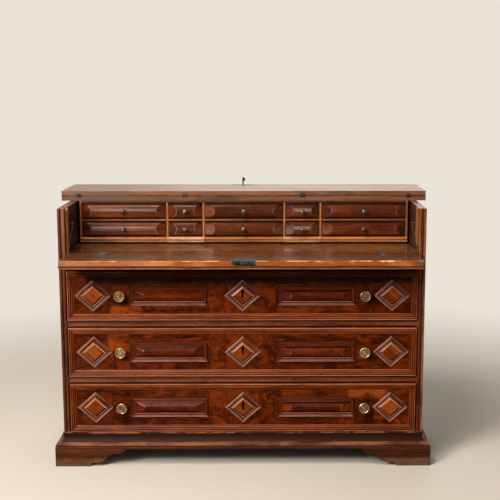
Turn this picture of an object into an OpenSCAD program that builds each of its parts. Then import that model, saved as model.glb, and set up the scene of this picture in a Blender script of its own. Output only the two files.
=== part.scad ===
// Walnut secretaire chest with a folding top, a writing fall, a nest of small drawers
// and three long drawers with mitred mouldings. Units are millimetres and Z is up.
// The front faces -Y. The top is shown folded back and the fall let down.

/* [Case] */
// Width over the two sides of the case
case_w = 1500; // [1250:10:1700]
// Depth from the front plane of the case to the outside of its back
case_d = 610; // [560:10:680]
// Thickness of the side boards
side_t = 29; // [26:1:34]
// Thickness of the back
back_t = 16; // [10:1:24]
// Thickness of the bottom board
bottom_t = 22; // [16:1:30]
// Height of the feet under the plinth
foot_h = 75; // [60:1:95]
// Length of a front foot along the front
foot_l = 300; // [240:5:340]
// Length of a front foot along the side
foot_side_l = 246; // [200:2:280]
// Thickness of a bracket foot
foot_t = 24; // [18:1:32]
// Height of the plinth moulding
plinth_h = 65; // [50:1:80]
// How far the plinth stands out from the case
plinth_out = 33; // [24:1:42]
// Height of the rail over the long drawers
top_rail_h = 45; // [38:1:60]
// Height of the walls over the writing level
wall_h = 188; // [175:1:230]

/* [Top] */
// Thickness of the two top boards
top_t = 21; // [18:1:28]
// How far the top passes the sides
top_side_out = 40; // [20:1:60]
// How far the top passes the back
top_back_out = 12; // [0:1:20]
// How far the closed top passes the front plane
top_front_out = 22; // [10:1:35]
// Gap between the folded boards, and between the closed flap and the walls
lid_gap = 0.3; // [0.2:0.05:0.5]

/* [Fall] */
// Thickness of the writing fall
fall_t = 23; // [20:1:28]
// How far the closed fall lies behind the front plane
fall_recess = 4; // [2:1:10]
// Gap between the fall and what it meets at its ends
fall_gap = 1.5; // [1:0.5:3]
// Gap under the open fall on the rail that carries it
fall_seat = 0.3; // [0.2:0.05:0.5]
// Depth of the strips that stop the closed fall
stop_d = 28; // [20:1:40]
// Thickness of those strips
stop_t = 8; // [6:1:10]

/* [Long drawers] */
// Clear height for each long drawer
bay_h = 208; // [190:1:230]
// Height of the rails between the long drawers
rail_h = 30; // [24:1:40]
// Depth of a rail from front to back
rail_d = 60; // [40:1:80]
// Width of the runners that carry a long drawer
runner_w = 28; // [20:1:40]
// Thickness of a long drawer's front board
front_t = 20; // [18:1:26]
// How far the front board lies behind the front plane
front_recess = 6; // [4:1:12]
// Gap round a long drawer's front
front_gap = 1.5; // [1:0.25:3]
// Height of a long drawer's sides
drawer_side_h = 172; // [140:1:180]
// Gap behind a closed long drawer
drawer_back_gap = 28; // [10:1:60]
// Thickness of a long drawer's sides and back
drawer_side_t = 13; // [10:1:18]
// Thickness of a long drawer's bottom
drawer_bottom_t = 9; // [7:1:14]
// Gap under a long drawer
slide_gap = 0.3; // [0.2:0.05:0.5]

/* [Mouldings] */
// Width of the frame moulding round a long drawer
frame_w = 26; // [20:1:32]
// Height of the frame moulding over the front board
frame_h = 13; // [9:1:18]
// Half the width of a diamond
diamond_a = 74; // [60:1:80]
// Gap between a diamond and the frame over and under it
diamond_over = 10.5; // [6:0.5:16]
// Gap between the outer diamonds and the frame beside them
diamond_beside = 4.5; // [2:0.5:12]
// Half the height of a long panel
panel_b = 41; // [34:1:50]
// Gap between the middle diamond and a long panel
panel_in = 71; // [40:1:90]
// Gap between a long panel and the rose of a knob
panel_out = 18; // [8:1:30]
// Height of diamonds and panels over the front board
relief_h = 10.6; // [8:0.2:14]
// Height of the raised blocks of the long panels
panel_rise = 17; // [12:0.5:20]
// Length of the slope at each end of a long panel's block
panel_slope = 36; // [24:1:50]

/* [Brass knobs] */
// Gap between the rose of a knob and the outer diamond
knob_beside = 14; // [6:1:20]
// Radius of the rose behind a knob
rose_r = 13.5; // [10:0.5:18]
// Radius of the knob's head
knob_r = 22.5; // [18:0.5:26]
// Reach of a knob from the front board
knob_l = 31; // [26:1:40]

/* [Nest of small drawers] */
// Distance from the front plane to the front of the nest
nest_y = 292; // [280:1:310]
// Gap behind the nest
nest_back_gap = 12; // [5:1:30]
// Gap between an outer small drawer and the head of a stay's wall eye that it passes
eye_pass_gap = 1.75; // [1:0.25:4]
// Thickness of the ends, the top and the shelves
nest_t = 8; // [6:1:10]
// Thickness of an upright divider
divider_t = 10; // [8:1:14]
// Height of the moulded rail under the small drawers
nest_rail_h = 31; // [26:1:40]
// Width of the middle bay
bay_mid_w = 341; // [300:1:380]
// Width of the narrow bays beside it
bay_narrow_w = 147; // [120:1:180]
// Gap round a small drawer
small_gap = 1.25; // [1:0.25:2]
// Thickness of a small drawer's sides
small_t = 6; // [5:1:9]
// Thickness of the flat edge of a small drawer's front
small_front_t = 8; // [6:1:12]
// Swell of a small drawer's front
swell = 13; // [8:1:16]
// Gap behind a small drawer in the nest
small_back_gap = 22; // [8:1:60]
// Radius of a small knob
small_knob_r = 10.5; // [8:0.5:13]

/* [Ironwork] */
// Distance from the middle to the inner lid hinges
lid_hinge_in = 255; // [200:5:320]
// Distance from the top's end to the middle of the outer lid hinges
lid_hinge_end = 75; // [60:5:150]
// Width of a lid hinge
lid_hinge_w = 21; // [18:1:60]
// Distance from the fall's end to the middle of its hinge
fall_hinge_end = 144.5; // [100:0.5:220]
// Width of a fall hinge
fall_hinge_w = 30; // [24:1:44]
// Length of a fall hinge's leaf
fall_leaf_l = 64; // [50:1:95]
// Thickness of the hinge leaves
leaf_t = 1.8; // [1.4:0.1:2.4]
// Radius of the hinge knuckles
knuckle_r = 3.2; // [2.8:0.1:4]
// Radius of the hinge pins
pin_r = 1.5; // [1.2:0.1:1.8]
// Radial clearance of a pin in a turning knuckle
pin_gap = 0.08; // [0.05:0.01:0.1]
// Width of the lock plate in the fall
lock_w = 94; // [80:1:120]
// Length of the lock plate on the writing face
lock_l = 96; // [70:1:110]
// Distance from the hasp's slot to the middle of the lock plate
lock_shift = 19; // [10:1:24]
// Distance of the lock's slot from the middle
slot_x = -10; // [-25:1:25]
// Height of the hasp over the flap
hasp_h = 36; // [30:1:42]
// Distance of a stay's wall eye behind the fall's hinge line
stay_eye_y = 96; // [85:1:105]
// Height of the wall eye over the writing level
stay_eye_z = 112; // [100:1:120]
// Distance of a stay's stud in front of the hinge line
stay_stud_y = 36; // [28:1:44]
// Width of a stay's flat bar
stay_w = 8; // [6:1:10]
// Thickness of a stay's flat bar
stay_t = 4; // [3:0.5:5]

/* [Hidden] */
long_count = 3;

// Colours as the photograph shows them
walnut = "#6b3a1e";
walnut_dark = "#4a2614";
walnut_worn = "#a5754f";
walnut_burl = "#8a4b22";
poplar = "#a98a63";
iron = "#4b4642";
brass = "#9a7b4a";

// Levels from the floor up
base_z = foot_h + plinth_h;
fall_under_z = base_z + long_count * bay_h + (long_count - 1) * rail_h + top_rail_h;
writing_z = fall_under_z + fall_t;
wall_z = writing_z + wall_h;
rear_top_z = wall_z + top_t;
lid_axis_z = rear_top_z + lid_gap;

// Places from front to back, measured from the front plane of the case
fall_axis_y = fall_recess + fall_t;
fall_len = wall_h - fall_gap;
fall_front_y = fall_axis_y - fall_len;
top_rear_y = case_d + top_back_out;
lid_joint = 1.5;
lid_len = (top_rear_y + top_front_out) / 2 - lid_joint / 2;
top_split_y = top_rear_y - lid_len;
lid_axis_y = top_split_y - lid_joint;
inner_w = case_w - 2 * side_t;
inner_back_y = case_d - back_t;
mid_y = (top_rear_y + fall_front_y) / 2;

// The long drawers, numbered from the top
function long_z(n) = base_z + (long_count - n) * (bay_h + rail_h);
front_h = bay_h - 2 * front_gap;
front_w = inner_w - 2 * front_gap;
box_w = inner_w - 4 * front_gap;
drawer_side_l = inner_back_y - front_recess - front_t - drawer_back_gap;
diamond_x = front_w / 2 - frame_w - diamond_beside - diamond_a;
diamond_b = front_h / 2 - frame_w - diamond_over;
knob_x = diamond_x - diamond_a - knob_beside - knob_r;
panel_end = knob_x - knob_r - panel_out;
panel_start = diamond_a + panel_in;
panel_a = (panel_end - panel_start) / 2;
panel_x = (panel_end + panel_start) / 2;
keyhole_r = 5;
keyhole_up = 18.5;
keyhole_drop = 24.5;
bolt_r = 3.9;

// The fall and its ironwork
fall_w = inner_w - 2 * fall_gap;
fall_hinge_x = fall_w / 2 - fall_hinge_end;
fall_end_gap = 0.5;
knuckle_gap = 0.3;
lid_hinge_out = case_w / 2 + top_side_out - lid_hinge_end;
lid_leaf_t = 1.4;
lid_leaf_h = 0.45 * top_t;
fall_frame_h = frame_h - front_recess + fall_recess;
fall_frame_back = 2;
slot_w = 20;
slot_t = 11;
slot_depth = hasp_h + 6;
lock_t = 2;
lock_x = slot_x + lock_shift;
hasp_t = 4;
hasp_plate_l = 96;
hasp_plate_t = 1;
// The hasp swings in an arc, so it stands behind the middle of its slot
hasp_back = 2.6;
stud_r = 2.5;
stud_h = 7;
// A stay swings past the stops, and the outer small drawers slide past its wall eye
stay_clear = 2;
stay_x = inner_w / 2 - stop_t - stay_clear - stay_t / 2;
eye_stalk = stop_t + stay_clear + stay_t + 0.5;
eye_head_t = 2;
eye_r = 6;
eye_pin_r = 3;
stay_dy = stay_eye_y + stay_stud_y;
stay_dz = stay_eye_z - stud_h;
stay_l = sqrt(stay_dy * stay_dy + stay_dz * stay_dz);
stay_a = atan2(stay_dz, stay_dy);
// A stay swings back this many times as far as the fall closes, and its hook opens that way
stay_ratio = 2.2;
hook_a = atan2(stay_stud_y - stay_ratio * stay_dy, stud_h + stay_ratio * stay_dz);

// The nest
small_lap = 2;
nest_under_h = 0.2 * nest_rail_h;
nest_under_d = 26;
nest_proud = 3;
nest_side_gap = eye_stalk + eye_head_t + eye_pass_gap - nest_t - small_gap;
nest_w = inner_w - 2 * nest_side_gap;
nest_d = inner_back_y - nest_y - nest_back_gap;
small_l = nest_d - small_front_t + small_lap - small_back_gap;
nest_top_z = wall_z - 0.5;
bay_z0 = writing_z + nest_rail_h;
bay_row_h = (nest_top_z - nest_t - bay_z0 - nest_t) / 2;
x_mid = bay_mid_w / 2;
x_narrow = x_mid + divider_t;
x_wide = x_narrow + bay_narrow_w + divider_t;
bay_wide_w = nest_w / 2 - nest_t - x_wide;
bay_widths = [bay_wide_w, bay_narrow_w, bay_mid_w, bay_narrow_w, bay_wide_w];
bay_centres = [-(x_wide + bay_wide_w / 2), -(x_narrow + bay_narrow_w / 2), 0,
    x_narrow + bay_narrow_w / 2, x_wide + bay_wide_w / 2];

// Profiles of the mouldings: each step is [distance in from the edge, height]
// The frame falls inwards in three worn rounds.
frame_steps = [[0, 0], [0, 0.8], [0.06, 0.96], [0.14, 1], [0.24, 0.94], [0.28, 0.72], [0.34, 0.72],
    [0.44, 0.8], [0.52, 0.74], [0.56, 0.48], [0.62, 0.5], [0.74, 0.46], [0.84, 0.3], [0.94, 0.1], [1, 0]];
// A relief has two beads, a flat band and a fine bead round a narrow sunk ground.
relief_steps = [[0, 0], [0, 0.25], [0.6, 0.4], [1.8, 0.45], [3.2, 0.34], [4, 0.32], [4.8, 0.45], [6.2, 0.54],
    [8.6, 0.42], [14.4, 0.36], [16.2, 0.53], [18, 0.34], [18.6, 0.06], [18.9, 0.06]];
block_in = relief_steps[len(relief_steps) - 1][0];
// A diamond's block stands up straight, has a bevelled rim and a flat top.
diamond_steps = [[0, 0.53], [0.6, 0.72], [1.7, 0.81], [5, 0.96], [6, 1]];
panel_base = 0.38 * relief_h;

// Corners of a rectangle or a diamond that is drawn in by d
function rect_ring(a, b, d) = [[d - a, d - b], [a - d, d - b], [a - d, b - d], [d - a, b - d]];
function diamond_ring(a, b, d) =
    let (s = 1 - d * sqrt(a * a + b * b) / (a * b))
    [[-a * s, 0], [0, -b * s], [a * s, 0], [0, b * s]];

// Places a piece that is drawn from the front plane of the case
module in_place() {
    translate([0, -mid_y, 0]) children();
}

module both_sides() {
    children();
    mirror([1, 0, 0]) children();
}

// A bar along X from a profile whose first axis is Y and whose second is Z
module along_x(length) {
    rotate([90, 0, 90]) linear_extrude(length, center = true) children();
}

// A plate in the XZ plane that is as thick as given and lies behind y = 0
module along_y(depth) {
    translate([0, depth, 0]) rotate([90, 0, 0]) linear_extrude(depth) children();
}

// Solid or ring from corner rings: heights stand along +Z before it is turned to the front
module mitred(rings, heights, open_middle) {
    count = len(rings);
    points = [for (i = [0:count - 1]) for (p = rings[i]) [p[0], p[1], heights[i]]];
    last = open_middle ? count - 1 : count - 2;
    walls = [for (i = [0:last]) for (k = [0:3])
        let (j = (i + 1) % count, m = (k + 1) % 4)
        [i * 4 + k, j * 4 + k, j * 4 + m, i * 4 + m]];
    top = (count - 1) * 4;
    caps = open_middle ? [] : [[0, 1, 2, 3], [top + 3, top + 2, top + 1, top]];
    rotate([90, 0, 0]) polyhedron(points, concat(walls, caps), convexity = 6);
}

relief_heights = [for (s = relief_steps) s[1] * relief_h];
module raised_diamond() {
    mitred(concat(
            [for (s = relief_steps) diamond_ring(diamond_a, diamond_b, s[0])],
            [for (s = diamond_steps) diamond_ring(diamond_a, diamond_b, block_in + s[0])]),
        concat(relief_heights, [for (s = diamond_steps) s[1] * relief_h]), false);
}

// A left-hand panel: its block has a flat field and hips
module hipped_panel() {
    edge_slope = 0.62 * (panel_b - block_in);
    mitred(concat(
            [for (s = relief_steps) rect_ring(panel_a, panel_b, s[0])],
            [rect_ring(panel_a, panel_b, block_in),
                rect_ring(panel_a - panel_slope, panel_b - edge_slope, block_in)]),
        concat(relief_heights, [panel_base, panel_rise]), false);
}

// A right-hand panel: its block is a cushion
module cushion_panel() {
    mitred([for (s = relief_steps) rect_ring(panel_a, panel_b, s[0])], relief_heights, false);
    cushion(2 * (panel_a - block_in), 2 * (panel_b - block_in), panel_base, panel_rise - panel_base,
        panel_slope, 48);
}

module frame_ring() {
    mitred([for (s = frame_steps) rect_ring(front_w / 2, front_h / 2, s[0] * frame_w)],
        [for (s = frame_steps) s[1] * frame_h], true);
}

// Plan of a side board: outer strip, groove and bead on its front edge
module side_plan() {
    bead_r = 5.5;
    strip_w = 9;
    groove_d = 4;
    difference() {
        union() {
            translate([-case_w / 2, groove_d]) square([side_t, case_d - groove_d]);
            translate([-case_w / 2, 0]) square([strip_w, groove_d + 1]);
            translate([-inner_w / 2 - bead_r, bead_r]) circle(bead_r, $fn = 48);
        }
        translate([-case_w / 2 + strip_w + 3.5, 2]) circle(3.5, $fn = 40);
    }
}

module side_board() {
    translate([0, 0, foot_h]) linear_extrude(wall_z - foot_h) side_plan();
}

module side_left() {
    color(walnut) in_place() side_board();
}

module side_right() {
    color(walnut) in_place() mirror([1, 0, 0]) side_board();
}

module back_panel() {
    plank_h = (wall_z - foot_h) / 4;
    joint = 1.5;
    color(poplar) in_place() difference() {
        translate([-inner_w / 2, inner_back_y, foot_h]) cube([inner_w, back_t, wall_z - foot_h]);
        for (i = [1:3]) translate([-inner_w / 2 - 1, case_d - joint, foot_h + i * plank_h - joint / 2])
            cube([inner_w + 2, joint + 1, joint]);
    }
}

module bottom_board() {
    color(walnut_dark) in_place()
        translate([-inner_w / 2, front_recess, base_z - bottom_t])
            cube([inner_w, inner_back_y - front_recess, bottom_t]);
}

// Floor behind the fall: its front edge is notched for the knuckles and let in for the leaves
module writing_floor() {
    floor_t = fall_t + fall_seat;
    color(walnut) in_place() difference() {
        translate([-inner_w / 2, fall_axis_y + fall_end_gap, writing_z - floor_t])
            cube([inner_w, inner_back_y - fall_axis_y - fall_end_gap, floor_t]);
        both_sides() {
            fall_knuckle_notch();
            translate([fall_hinge_x - fall_hinge_w / 2, fall_axis_y, writing_z - leaf_t])
                cube([fall_hinge_w, fall_leaf_l, leaf_t + 1]);
        }
    }
}

// Profile of a rail: a flat board with a small bead near each edge of its face
module rail_profile(height) {
    bead = 3.5;
    translate([front_recess, 0]) square([rail_d, height]);
    for (z = [bead + 2, height - bead - 2]) {
        translate([front_recess, z]) circle(bead, $fn = 32);
    }
}

module top_rail() {
    color(walnut) in_place()
        translate([0, 0, long_z(1) + bay_h]) along_x(inner_w) rail_profile(top_rail_h - fall_seat);
}

module drawer_rails() {
    color(walnut) in_place() for (i = [1, 2]) {
        translate([0, 0, long_z(i) - rail_h]) along_x(inner_w) rail_profile(rail_h);
    }
}

// Side runners behind the rails, level with them
module drawer_runners() {
    color(poplar) in_place() for (i = [1, 2]) both_sides() {
        translate([-inner_w / 2, front_recess + rail_d, long_z(i) - rail_h])
            cube([runner_w, inner_back_y - front_recess - rail_d, rail_h]);
    }
}

// Points on an ellipse round c, from angle a0 to a1
function arc(c, rx, ry, a0, a1, n) =
    [for (i = [0:n]) let (a = a0 + (a1 - a0) * i / n) [c[0] + rx * cos(a), c[1] + ry * sin(a)]];

// Plinth: an astragal, a hollow, a round and a fascia; the first axis is outwards
module plinth_profile() {
    bead = 3.8;
    round_r = 6;
    fascia = 0.12 * plinth_h;
    hollow_top = plinth_h - 2 * bead - 2;
    hollow_out = plinth_out - 2 * round_r - 4;
    hollow_low = fascia + 2 * round_r + 3;
    polygon(concat(
        [[0, plinth_h], [1, plinth_h]],
        arc([1, plinth_h - 1 - bead], bead, bead, 90, -90, 8),
        [[1.5, hollow_top]],
        arc([1.5 + hollow_out, hollow_top], hollow_out, hollow_top - hollow_low, 180, 270, 8),
        [[hollow_out + 3, hollow_low]],
        arc([plinth_out - round_r - 2, fascia + round_r + 1], round_r, round_r, 120, -60, 10),
        [[plinth_out, fascia], [plinth_out, 0], [0, 0]]));
}

// Plan that the front moulding is cut to at its mitres
module front_mitre() {
    reach = plinth_out + 5;
    polygon([[-case_w / 2, 0], [case_w / 2, 0],
        [case_w / 2 + reach, -reach], [-case_w / 2 - reach, -reach]]);
}

module plinth_front() {
    color(walnut_dark) in_place() translate([0, 0, foot_h]) intersection() {
        mirror([0, 1, 0]) along_x(case_w + 2 * plinth_out + 20) plinth_profile();
        linear_extrude(plinth_h + 10) front_mitre();
    }
}

module plinth_side() {
    reach = plinth_out + 5;
    translate([0, 0, foot_h]) intersection() {
        translate([-case_w / 2, case_d, 0]) rotate([90, 0, 0])
            linear_extrude(case_d + plinth_out + 10) mirror([1, 0]) plinth_profile();
        linear_extrude(plinth_h + 10)
            polygon([[-case_w / 2, 0], [-case_w / 2, case_d],
                [-case_w / 2 - reach, case_d], [-case_w / 2 - reach, -reach]]);
    }
}

module plinth_sides() {
    color(walnut_dark) in_place() both_sides() plinth_side();
}

// Bracket foot of a length: toe on the floor, a nick, an ogee that rises, and a short step
module foot_outline(length) {
    ogee = [for (t = [0:15:180])
        [(0.61 + t / 180 * 0.19) * length, (0.22 + (1 - cos(t)) * 0.24) * foot_h]];
    polygon(concat(
        [[0, foot_h], [0, 0], [0.475 * length, 0], [0.505 * length, 0.2 * foot_h],
            [0.545 * length, 0.18 * foot_h]],
        ogee,
        [[0.91 * length, 0.72 * foot_h], [0.935 * length, 0.8 * foot_h], [length, foot_h]]));
}

// Two brackets that meet at the corner, with the block that carries the case behind them
module front_foot() {
    block = plinth_out + side_t - foot_t + 8;
    translate([-case_w / 2 - plinth_out, -plinth_out, 0]) {
        along_y(foot_t) foot_outline(foot_l);
        mirror([1, -1, 0]) along_y(foot_t) foot_outline(foot_side_l);
        translate([foot_t - 1, foot_t - 1, 0]) cube([block, block, foot_h]);
    }
}

module front_foot_left() {
    color(walnut_worn) in_place() front_foot();
}

module front_foot_right() {
    color(walnut_worn) in_place() mirror([1, 0, 0]) front_foot();
}

module rear_feet() {
    foot_w = 110;
    foot_d = 70;
    color(walnut_dark) in_place() both_sides()
        translate([-case_w / 2 - plinth_out, case_d - foot_d, 0]) cube([foot_w, foot_d, foot_h]);
}

module fall_stops() {
    color(walnut) in_place() both_sides()
        translate([-inner_w / 2, fall_axis_y + lid_gap, writing_z]) {
            cube([stop_t, stop_d, wall_h - stop_d / 2]);
            translate([0, stop_d / 2, wall_h - stop_d / 2]) rotate([0, 90, 0])
                cylinder(r = stop_d / 2, h = stop_t, $fn = 48);
        }
}

// Top boards: a rounded front edge on each, drawn as a bar along X
module top_profile(length, round_front) {
    r = top_t / 2;
    translate([round_front ? r : 0, 0]) square([length - (round_front ? r : 0), top_t]);
    if (round_front) translate([r, r]) circle(r, $fn = 48);
}

module top_rear() {
    color(walnut) in_place() difference() {
        translate([0, top_split_y, wall_z]) along_x(case_w + 2 * top_side_out) top_profile(lid_len, false);
        lid_knuckle_notches(lid_axis_z);
    }
}

// Hinges of the flap lie upright on the front edges of the two boards
lid_hinge_places = [-lid_hinge_out, -lid_hinge_in, lid_hinge_in, lid_hinge_out];
module lid_knuckle_notches(z) {
    for (x = lid_hinge_places) {
        translate([x, lid_axis_y, z]) rotate([0, 90, 0])
            cylinder(r = knuckle_r + 0.5, h = lid_hinge_w + 1, center = true, $fn = 40);
        translate([x - lid_hinge_w / 2, top_split_y - 1, z - lid_leaf_h])
            cube([lid_hinge_w, 1 + lid_leaf_t, 2 * lid_leaf_h]);
    }
}

// One knuckle along X with a bore for the pin
module knuckle(length, bore) {
    rotate([0, 90, 0]) difference() {
        cylinder(r = knuckle_r, h = length, center = true, $fn = 40);
        cylinder(r = bore, h = length + 2, center = true, $fn = 32);
    }
}

// A lid hinge's fixed half: a leaf in the board's edge with the two outer knuckles
module lid_hinge_half(outer) {
    part = lid_hinge_w / 3;
    bore = outer ? pin_r : pin_r + pin_gap;
    web_y = 0.4;
    difference() {
        union() {
            translate([-lid_hinge_w / 2, lid_joint, -lid_leaf_h])
                cube([lid_hinge_w, lid_leaf_t, lid_leaf_h - knuckle_r]);
            for (s = outer ? [-1, 1] : [0]) {
                translate([s * part, 0, 0]) knuckle(part - 2 * knuckle_gap, bore);
                translate([s * part - part / 2 + knuckle_gap, web_y, -knuckle_r - 1])
                    cube([part - 2 * knuckle_gap, lid_joint + lid_leaf_t - web_y, knuckle_r]);
            }
        }
        translate([-lid_hinge_w, 0, 0]) rotate([0, 90, 0])
            cylinder(r = bore, h = 2 * lid_hinge_w, $fn = 32);
    }
}

module lid_hinges_fixed() {
    color(iron) in_place() for (x = lid_hinge_places)
        translate([x, lid_axis_y, lid_axis_z]) lid_hinge_half(true);
}

module lid_hinge_pins() {
    color(iron) in_place() for (x = lid_hinge_places) translate([x, lid_axis_y, lid_axis_z])
        rotate([0, 90, 0]) cylinder(r = pin_r, h = lid_hinge_w, center = true, $fn = 32);
}

module lid_hinges_moving() {
    color(iron) in_place() for (x = lid_hinge_places) translate([x, lid_axis_y, lid_axis_z])
        mirror([0, 0, 1]) lid_hinge_half(false);
}

// The flap lies upside down on the rear half
module lid_flap() {
    color(walnut) in_place() difference() {
        translate([0, top_rear_y, lid_axis_z + top_t]) rotate([180, 0, 0])
            along_x(case_w + 2 * top_side_out) top_profile(lid_len, true);
        lid_knuckle_notches(lid_axis_z);
    }
}

// Where the closed hasp meets the fall, turned over to the folded flap
hasp_y = 2 * lid_axis_y - (fall_axis_y - fall_t / 2 + hasp_back);
module lid_hasp() {
    stem_w = 6;
    beak_w = 8;
    color(iron) in_place() translate([slot_x, hasp_y, lid_axis_z + top_t]) {
        translate([-hasp_plate_l / 2, -6, 0]) cube([hasp_plate_l, 12, hasp_plate_t]);
        translate([0, hasp_t / 2, 0]) rotate([90, 0, 0]) linear_extrude(hasp_t) polygon([
            [-stem_w / 2, 0], [stem_w / 2, 0], [stem_w / 2, 0.48 * hasp_h],
            [stem_w / 2 + beak_w, 0.62 * hasp_h], [stem_w / 2 + beak_w - 2, 0.8 * hasp_h],
            [stem_w / 2, 0.95 * hasp_h], [0, hasp_h], [-stem_w / 2, 0.95 * hasp_h]]);
    }
}

// The fall is cut for its hinges, the lock plate and the hasp's slot
module fall_board() {
    color(walnut) in_place() difference() {
        translate([-fall_w / 2, fall_front_y, fall_under_z])
            cube([fall_w, fall_len - fall_end_gap, fall_t]);
        both_sides() {
            fall_knuckle_notch();
            translate([fall_hinge_x - fall_hinge_w / 2, fall_axis_y - fall_leaf_l, writing_z - leaf_t])
                cube([fall_hinge_w, fall_leaf_l, leaf_t + 1]);
        }
        lock_recess();
        lock_slot();
    }
}

// Frame on the outer face of the fall, in line with the drawers' frames once the fall is closed
module fall_mouldings() {
    y0 = fall_front_y;
    y1 = -fall_frame_back;
    color(walnut_worn) in_place() translate([0, (y0 + y1) / 2, fall_under_z]) rotate([90, 0, 0])
        mitred([for (s = frame_steps) rect_ring(fall_w / 2, (y1 - y0) / 2, s[0] * frame_w)],
            [for (s = frame_steps) s[1] * fall_frame_h], true);
}

module fall_knuckle_notch() {
    translate([fall_hinge_x, fall_axis_y, writing_z]) rotate([0, 90, 0])
        cylinder(r = knuckle_r + 0.5, h = fall_hinge_w + 1, center = true, $fn = 40);
}

// Outline of the lock plate on the writing face, scalloped towards the hinge
module lock_outline() {
    half = lock_w / 2;
    lobe = lock_w / 6;
    translate([-half, 0]) square([lock_w, lock_l - 2 * lobe]);
    translate([0, lock_l - 2 * lobe]) {
        circle(2 * lobe, $fn = 64);
        for (s = [-1, 1]) translate([s * 2 * lobe, 0]) circle(lobe, $fn = 48);
    }
}

module lock_recess() {
    translate([lock_x, fall_front_y, writing_z - lock_t]) linear_extrude(lock_t + 1) lock_outline();
    translate([lock_x - lock_w / 2, fall_front_y - 1, fall_under_z + 1])
        cube([lock_w, 1 + lock_t, fall_t]);
}

module lock_slot() {
    translate([slot_x - slot_w / 2 + 4, fall_front_y - 1, writing_z - fall_t / 2 - slot_t / 2])
        cube([slot_w, slot_depth + 1, slot_t]);
}

module fall_lock() {
    color(iron) in_place() difference() {
        union() {
            translate([lock_x, fall_front_y, writing_z - lock_t]) linear_extrude(lock_t) lock_outline();
            translate([lock_x - lock_w / 2, fall_front_y, fall_under_z + 1])
                cube([lock_w, lock_t, fall_t - 1]);
        }
        lock_slot();
    }
}

// One half of a fall hinge: a butterfly leaf let into the face, with its knuckles
module fall_hinge_half(outer) {
    part = fall_hinge_w / 3;
    bore = outer ? pin_r : pin_r + pin_gap;
    waist = 0.275 * fall_hinge_w;
    half = fall_hinge_w / 2;
    start = knuckle_r + 0.8;
    flare = fall_leaf_l - 14;
    difference() {
        union() {
            translate([0, 0, -leaf_t]) linear_extrude(leaf_t)
                polygon([[-waist, start], [waist, start], [half, flare], [half - 4, fall_leaf_l],
                    [4 - half, fall_leaf_l], [-half, flare]]);
            for (s = outer ? [-1, 1] : [0]) {
                translate([s * part, 0, 0]) knuckle(part - 2 * knuckle_gap, bore);
                translate([s * part - part / 2 + knuckle_gap, 0, -leaf_t])
                    cube([part - 2 * knuckle_gap, start + 1.2, leaf_t]);
            }
        }
        translate([-fall_hinge_w, 0, 0]) rotate([0, 90, 0])
            cylinder(r = bore, h = 2 * fall_hinge_w, $fn = 32);
    }
}

module fall_hinges_fixed() {
    color(iron) in_place() both_sides()
        translate([fall_hinge_x, fall_axis_y, writing_z]) fall_hinge_half(true);
}

module fall_hinges_moving() {
    color(iron) in_place() both_sides()
        translate([fall_hinge_x, fall_axis_y, writing_z]) mirror([0, 1, 0]) fall_hinge_half(false);
}

module fall_hinge_pins() {
    color(iron) in_place() both_sides()
        translate([fall_hinge_x, fall_axis_y, writing_z]) rotate([0, 90, 0])
            cylinder(r = pin_r, h = fall_hinge_w, center = true, $fn = 32);
}

// Wall eyes: a stalk from the wall through each stay's ring, with a head
module stay_eyes() {
    color(iron) in_place() both_sides()
        translate([inner_w / 2, fall_axis_y + stay_eye_y, writing_z + stay_eye_z]) rotate([0, -90, 0]) {
            cylinder(r = eye_pin_r + 2.5, h = 2, $fn = 32);
            cylinder(r = eye_pin_r, h = eye_stalk + 0.5 * eye_head_t, $fn = 32);
            translate([0, 0, eye_stalk]) cylinder(r = eye_pin_r + 1.6, h = eye_head_t, $fn = 32);
        }
}

// A stay: a flat bar with a ring at the wall and a hook over the stud
module stay_bar() {
    hook_r = stud_r + 0.3;
    slot_r = hook_r + 0.2;
    rotate([90, 0, 90]) translate([0, 0, -stay_t / 2]) linear_extrude(stay_t) difference() {
        union() {
            circle(eye_r, $fn = 40);
            rotate(180 + stay_a) translate([0, -stay_w / 2]) square([stay_l - stud_r, stay_w]);
            translate([-stay_dy, -stay_dz]) circle(hook_r + 3.4, $fn = 40);
        }
        circle(eye_pin_r + pin_gap, $fn = 32);
        translate([-stay_dy, -stay_dz]) {
            circle(hook_r, $fn = 32);
            rotate(hook_a) translate([0, -slot_r]) square([3 * hook_r, 2 * slot_r]);
        }
    }
}

module stay_place() {
    translate([stay_x, fall_axis_y + stay_eye_y, writing_z + stay_eye_z]) children();
}

module stay_left() {
    color(iron) in_place() mirror([1, 0, 0]) stay_place() stay_bar();
}

module stay_right() {
    color(iron) in_place() stay_place() stay_bar();
}

// Studs on the fall that the stays hook over
module stay_studs() {
    post_t = 4;
    post_w = 8;
    foot = 12;
    gap = 1.5;
    color(iron) in_place() both_sides()
        translate([stay_x - stay_t / 2 - gap - post_t, fall_axis_y - stay_stud_y, writing_z]) {
            translate([-foot, -0.75 * foot, 0]) cube([foot + post_t, 1.5 * foot, 1.2]);
            translate([0, -post_w / 2, 0]) cube([post_t, post_w, stud_h + stud_r]);
            translate([0, 0, stud_h]) rotate([0, 90, 0])
                cylinder(r = stud_r, h = post_t + stay_t + 2 * gap, $fn = 32);
        }
}

// The moulded rail of a length under the nest: a large round over a small one
module nest_rail(length) {
    large = 0.24 * nest_rail_h;
    small = 0.14 * nest_rail_h;
    translate([0, 0, nest_rail_h - large - 1]) rotate([0, 90, 0])
        cylinder(r = large, h = length, center = true, $fn = 40);
    translate([0, 0, nest_under_h + small + 0.5]) rotate([0, 90, 0])
        cylinder(r = small, h = length, center = true, $fn = 32);
}

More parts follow.
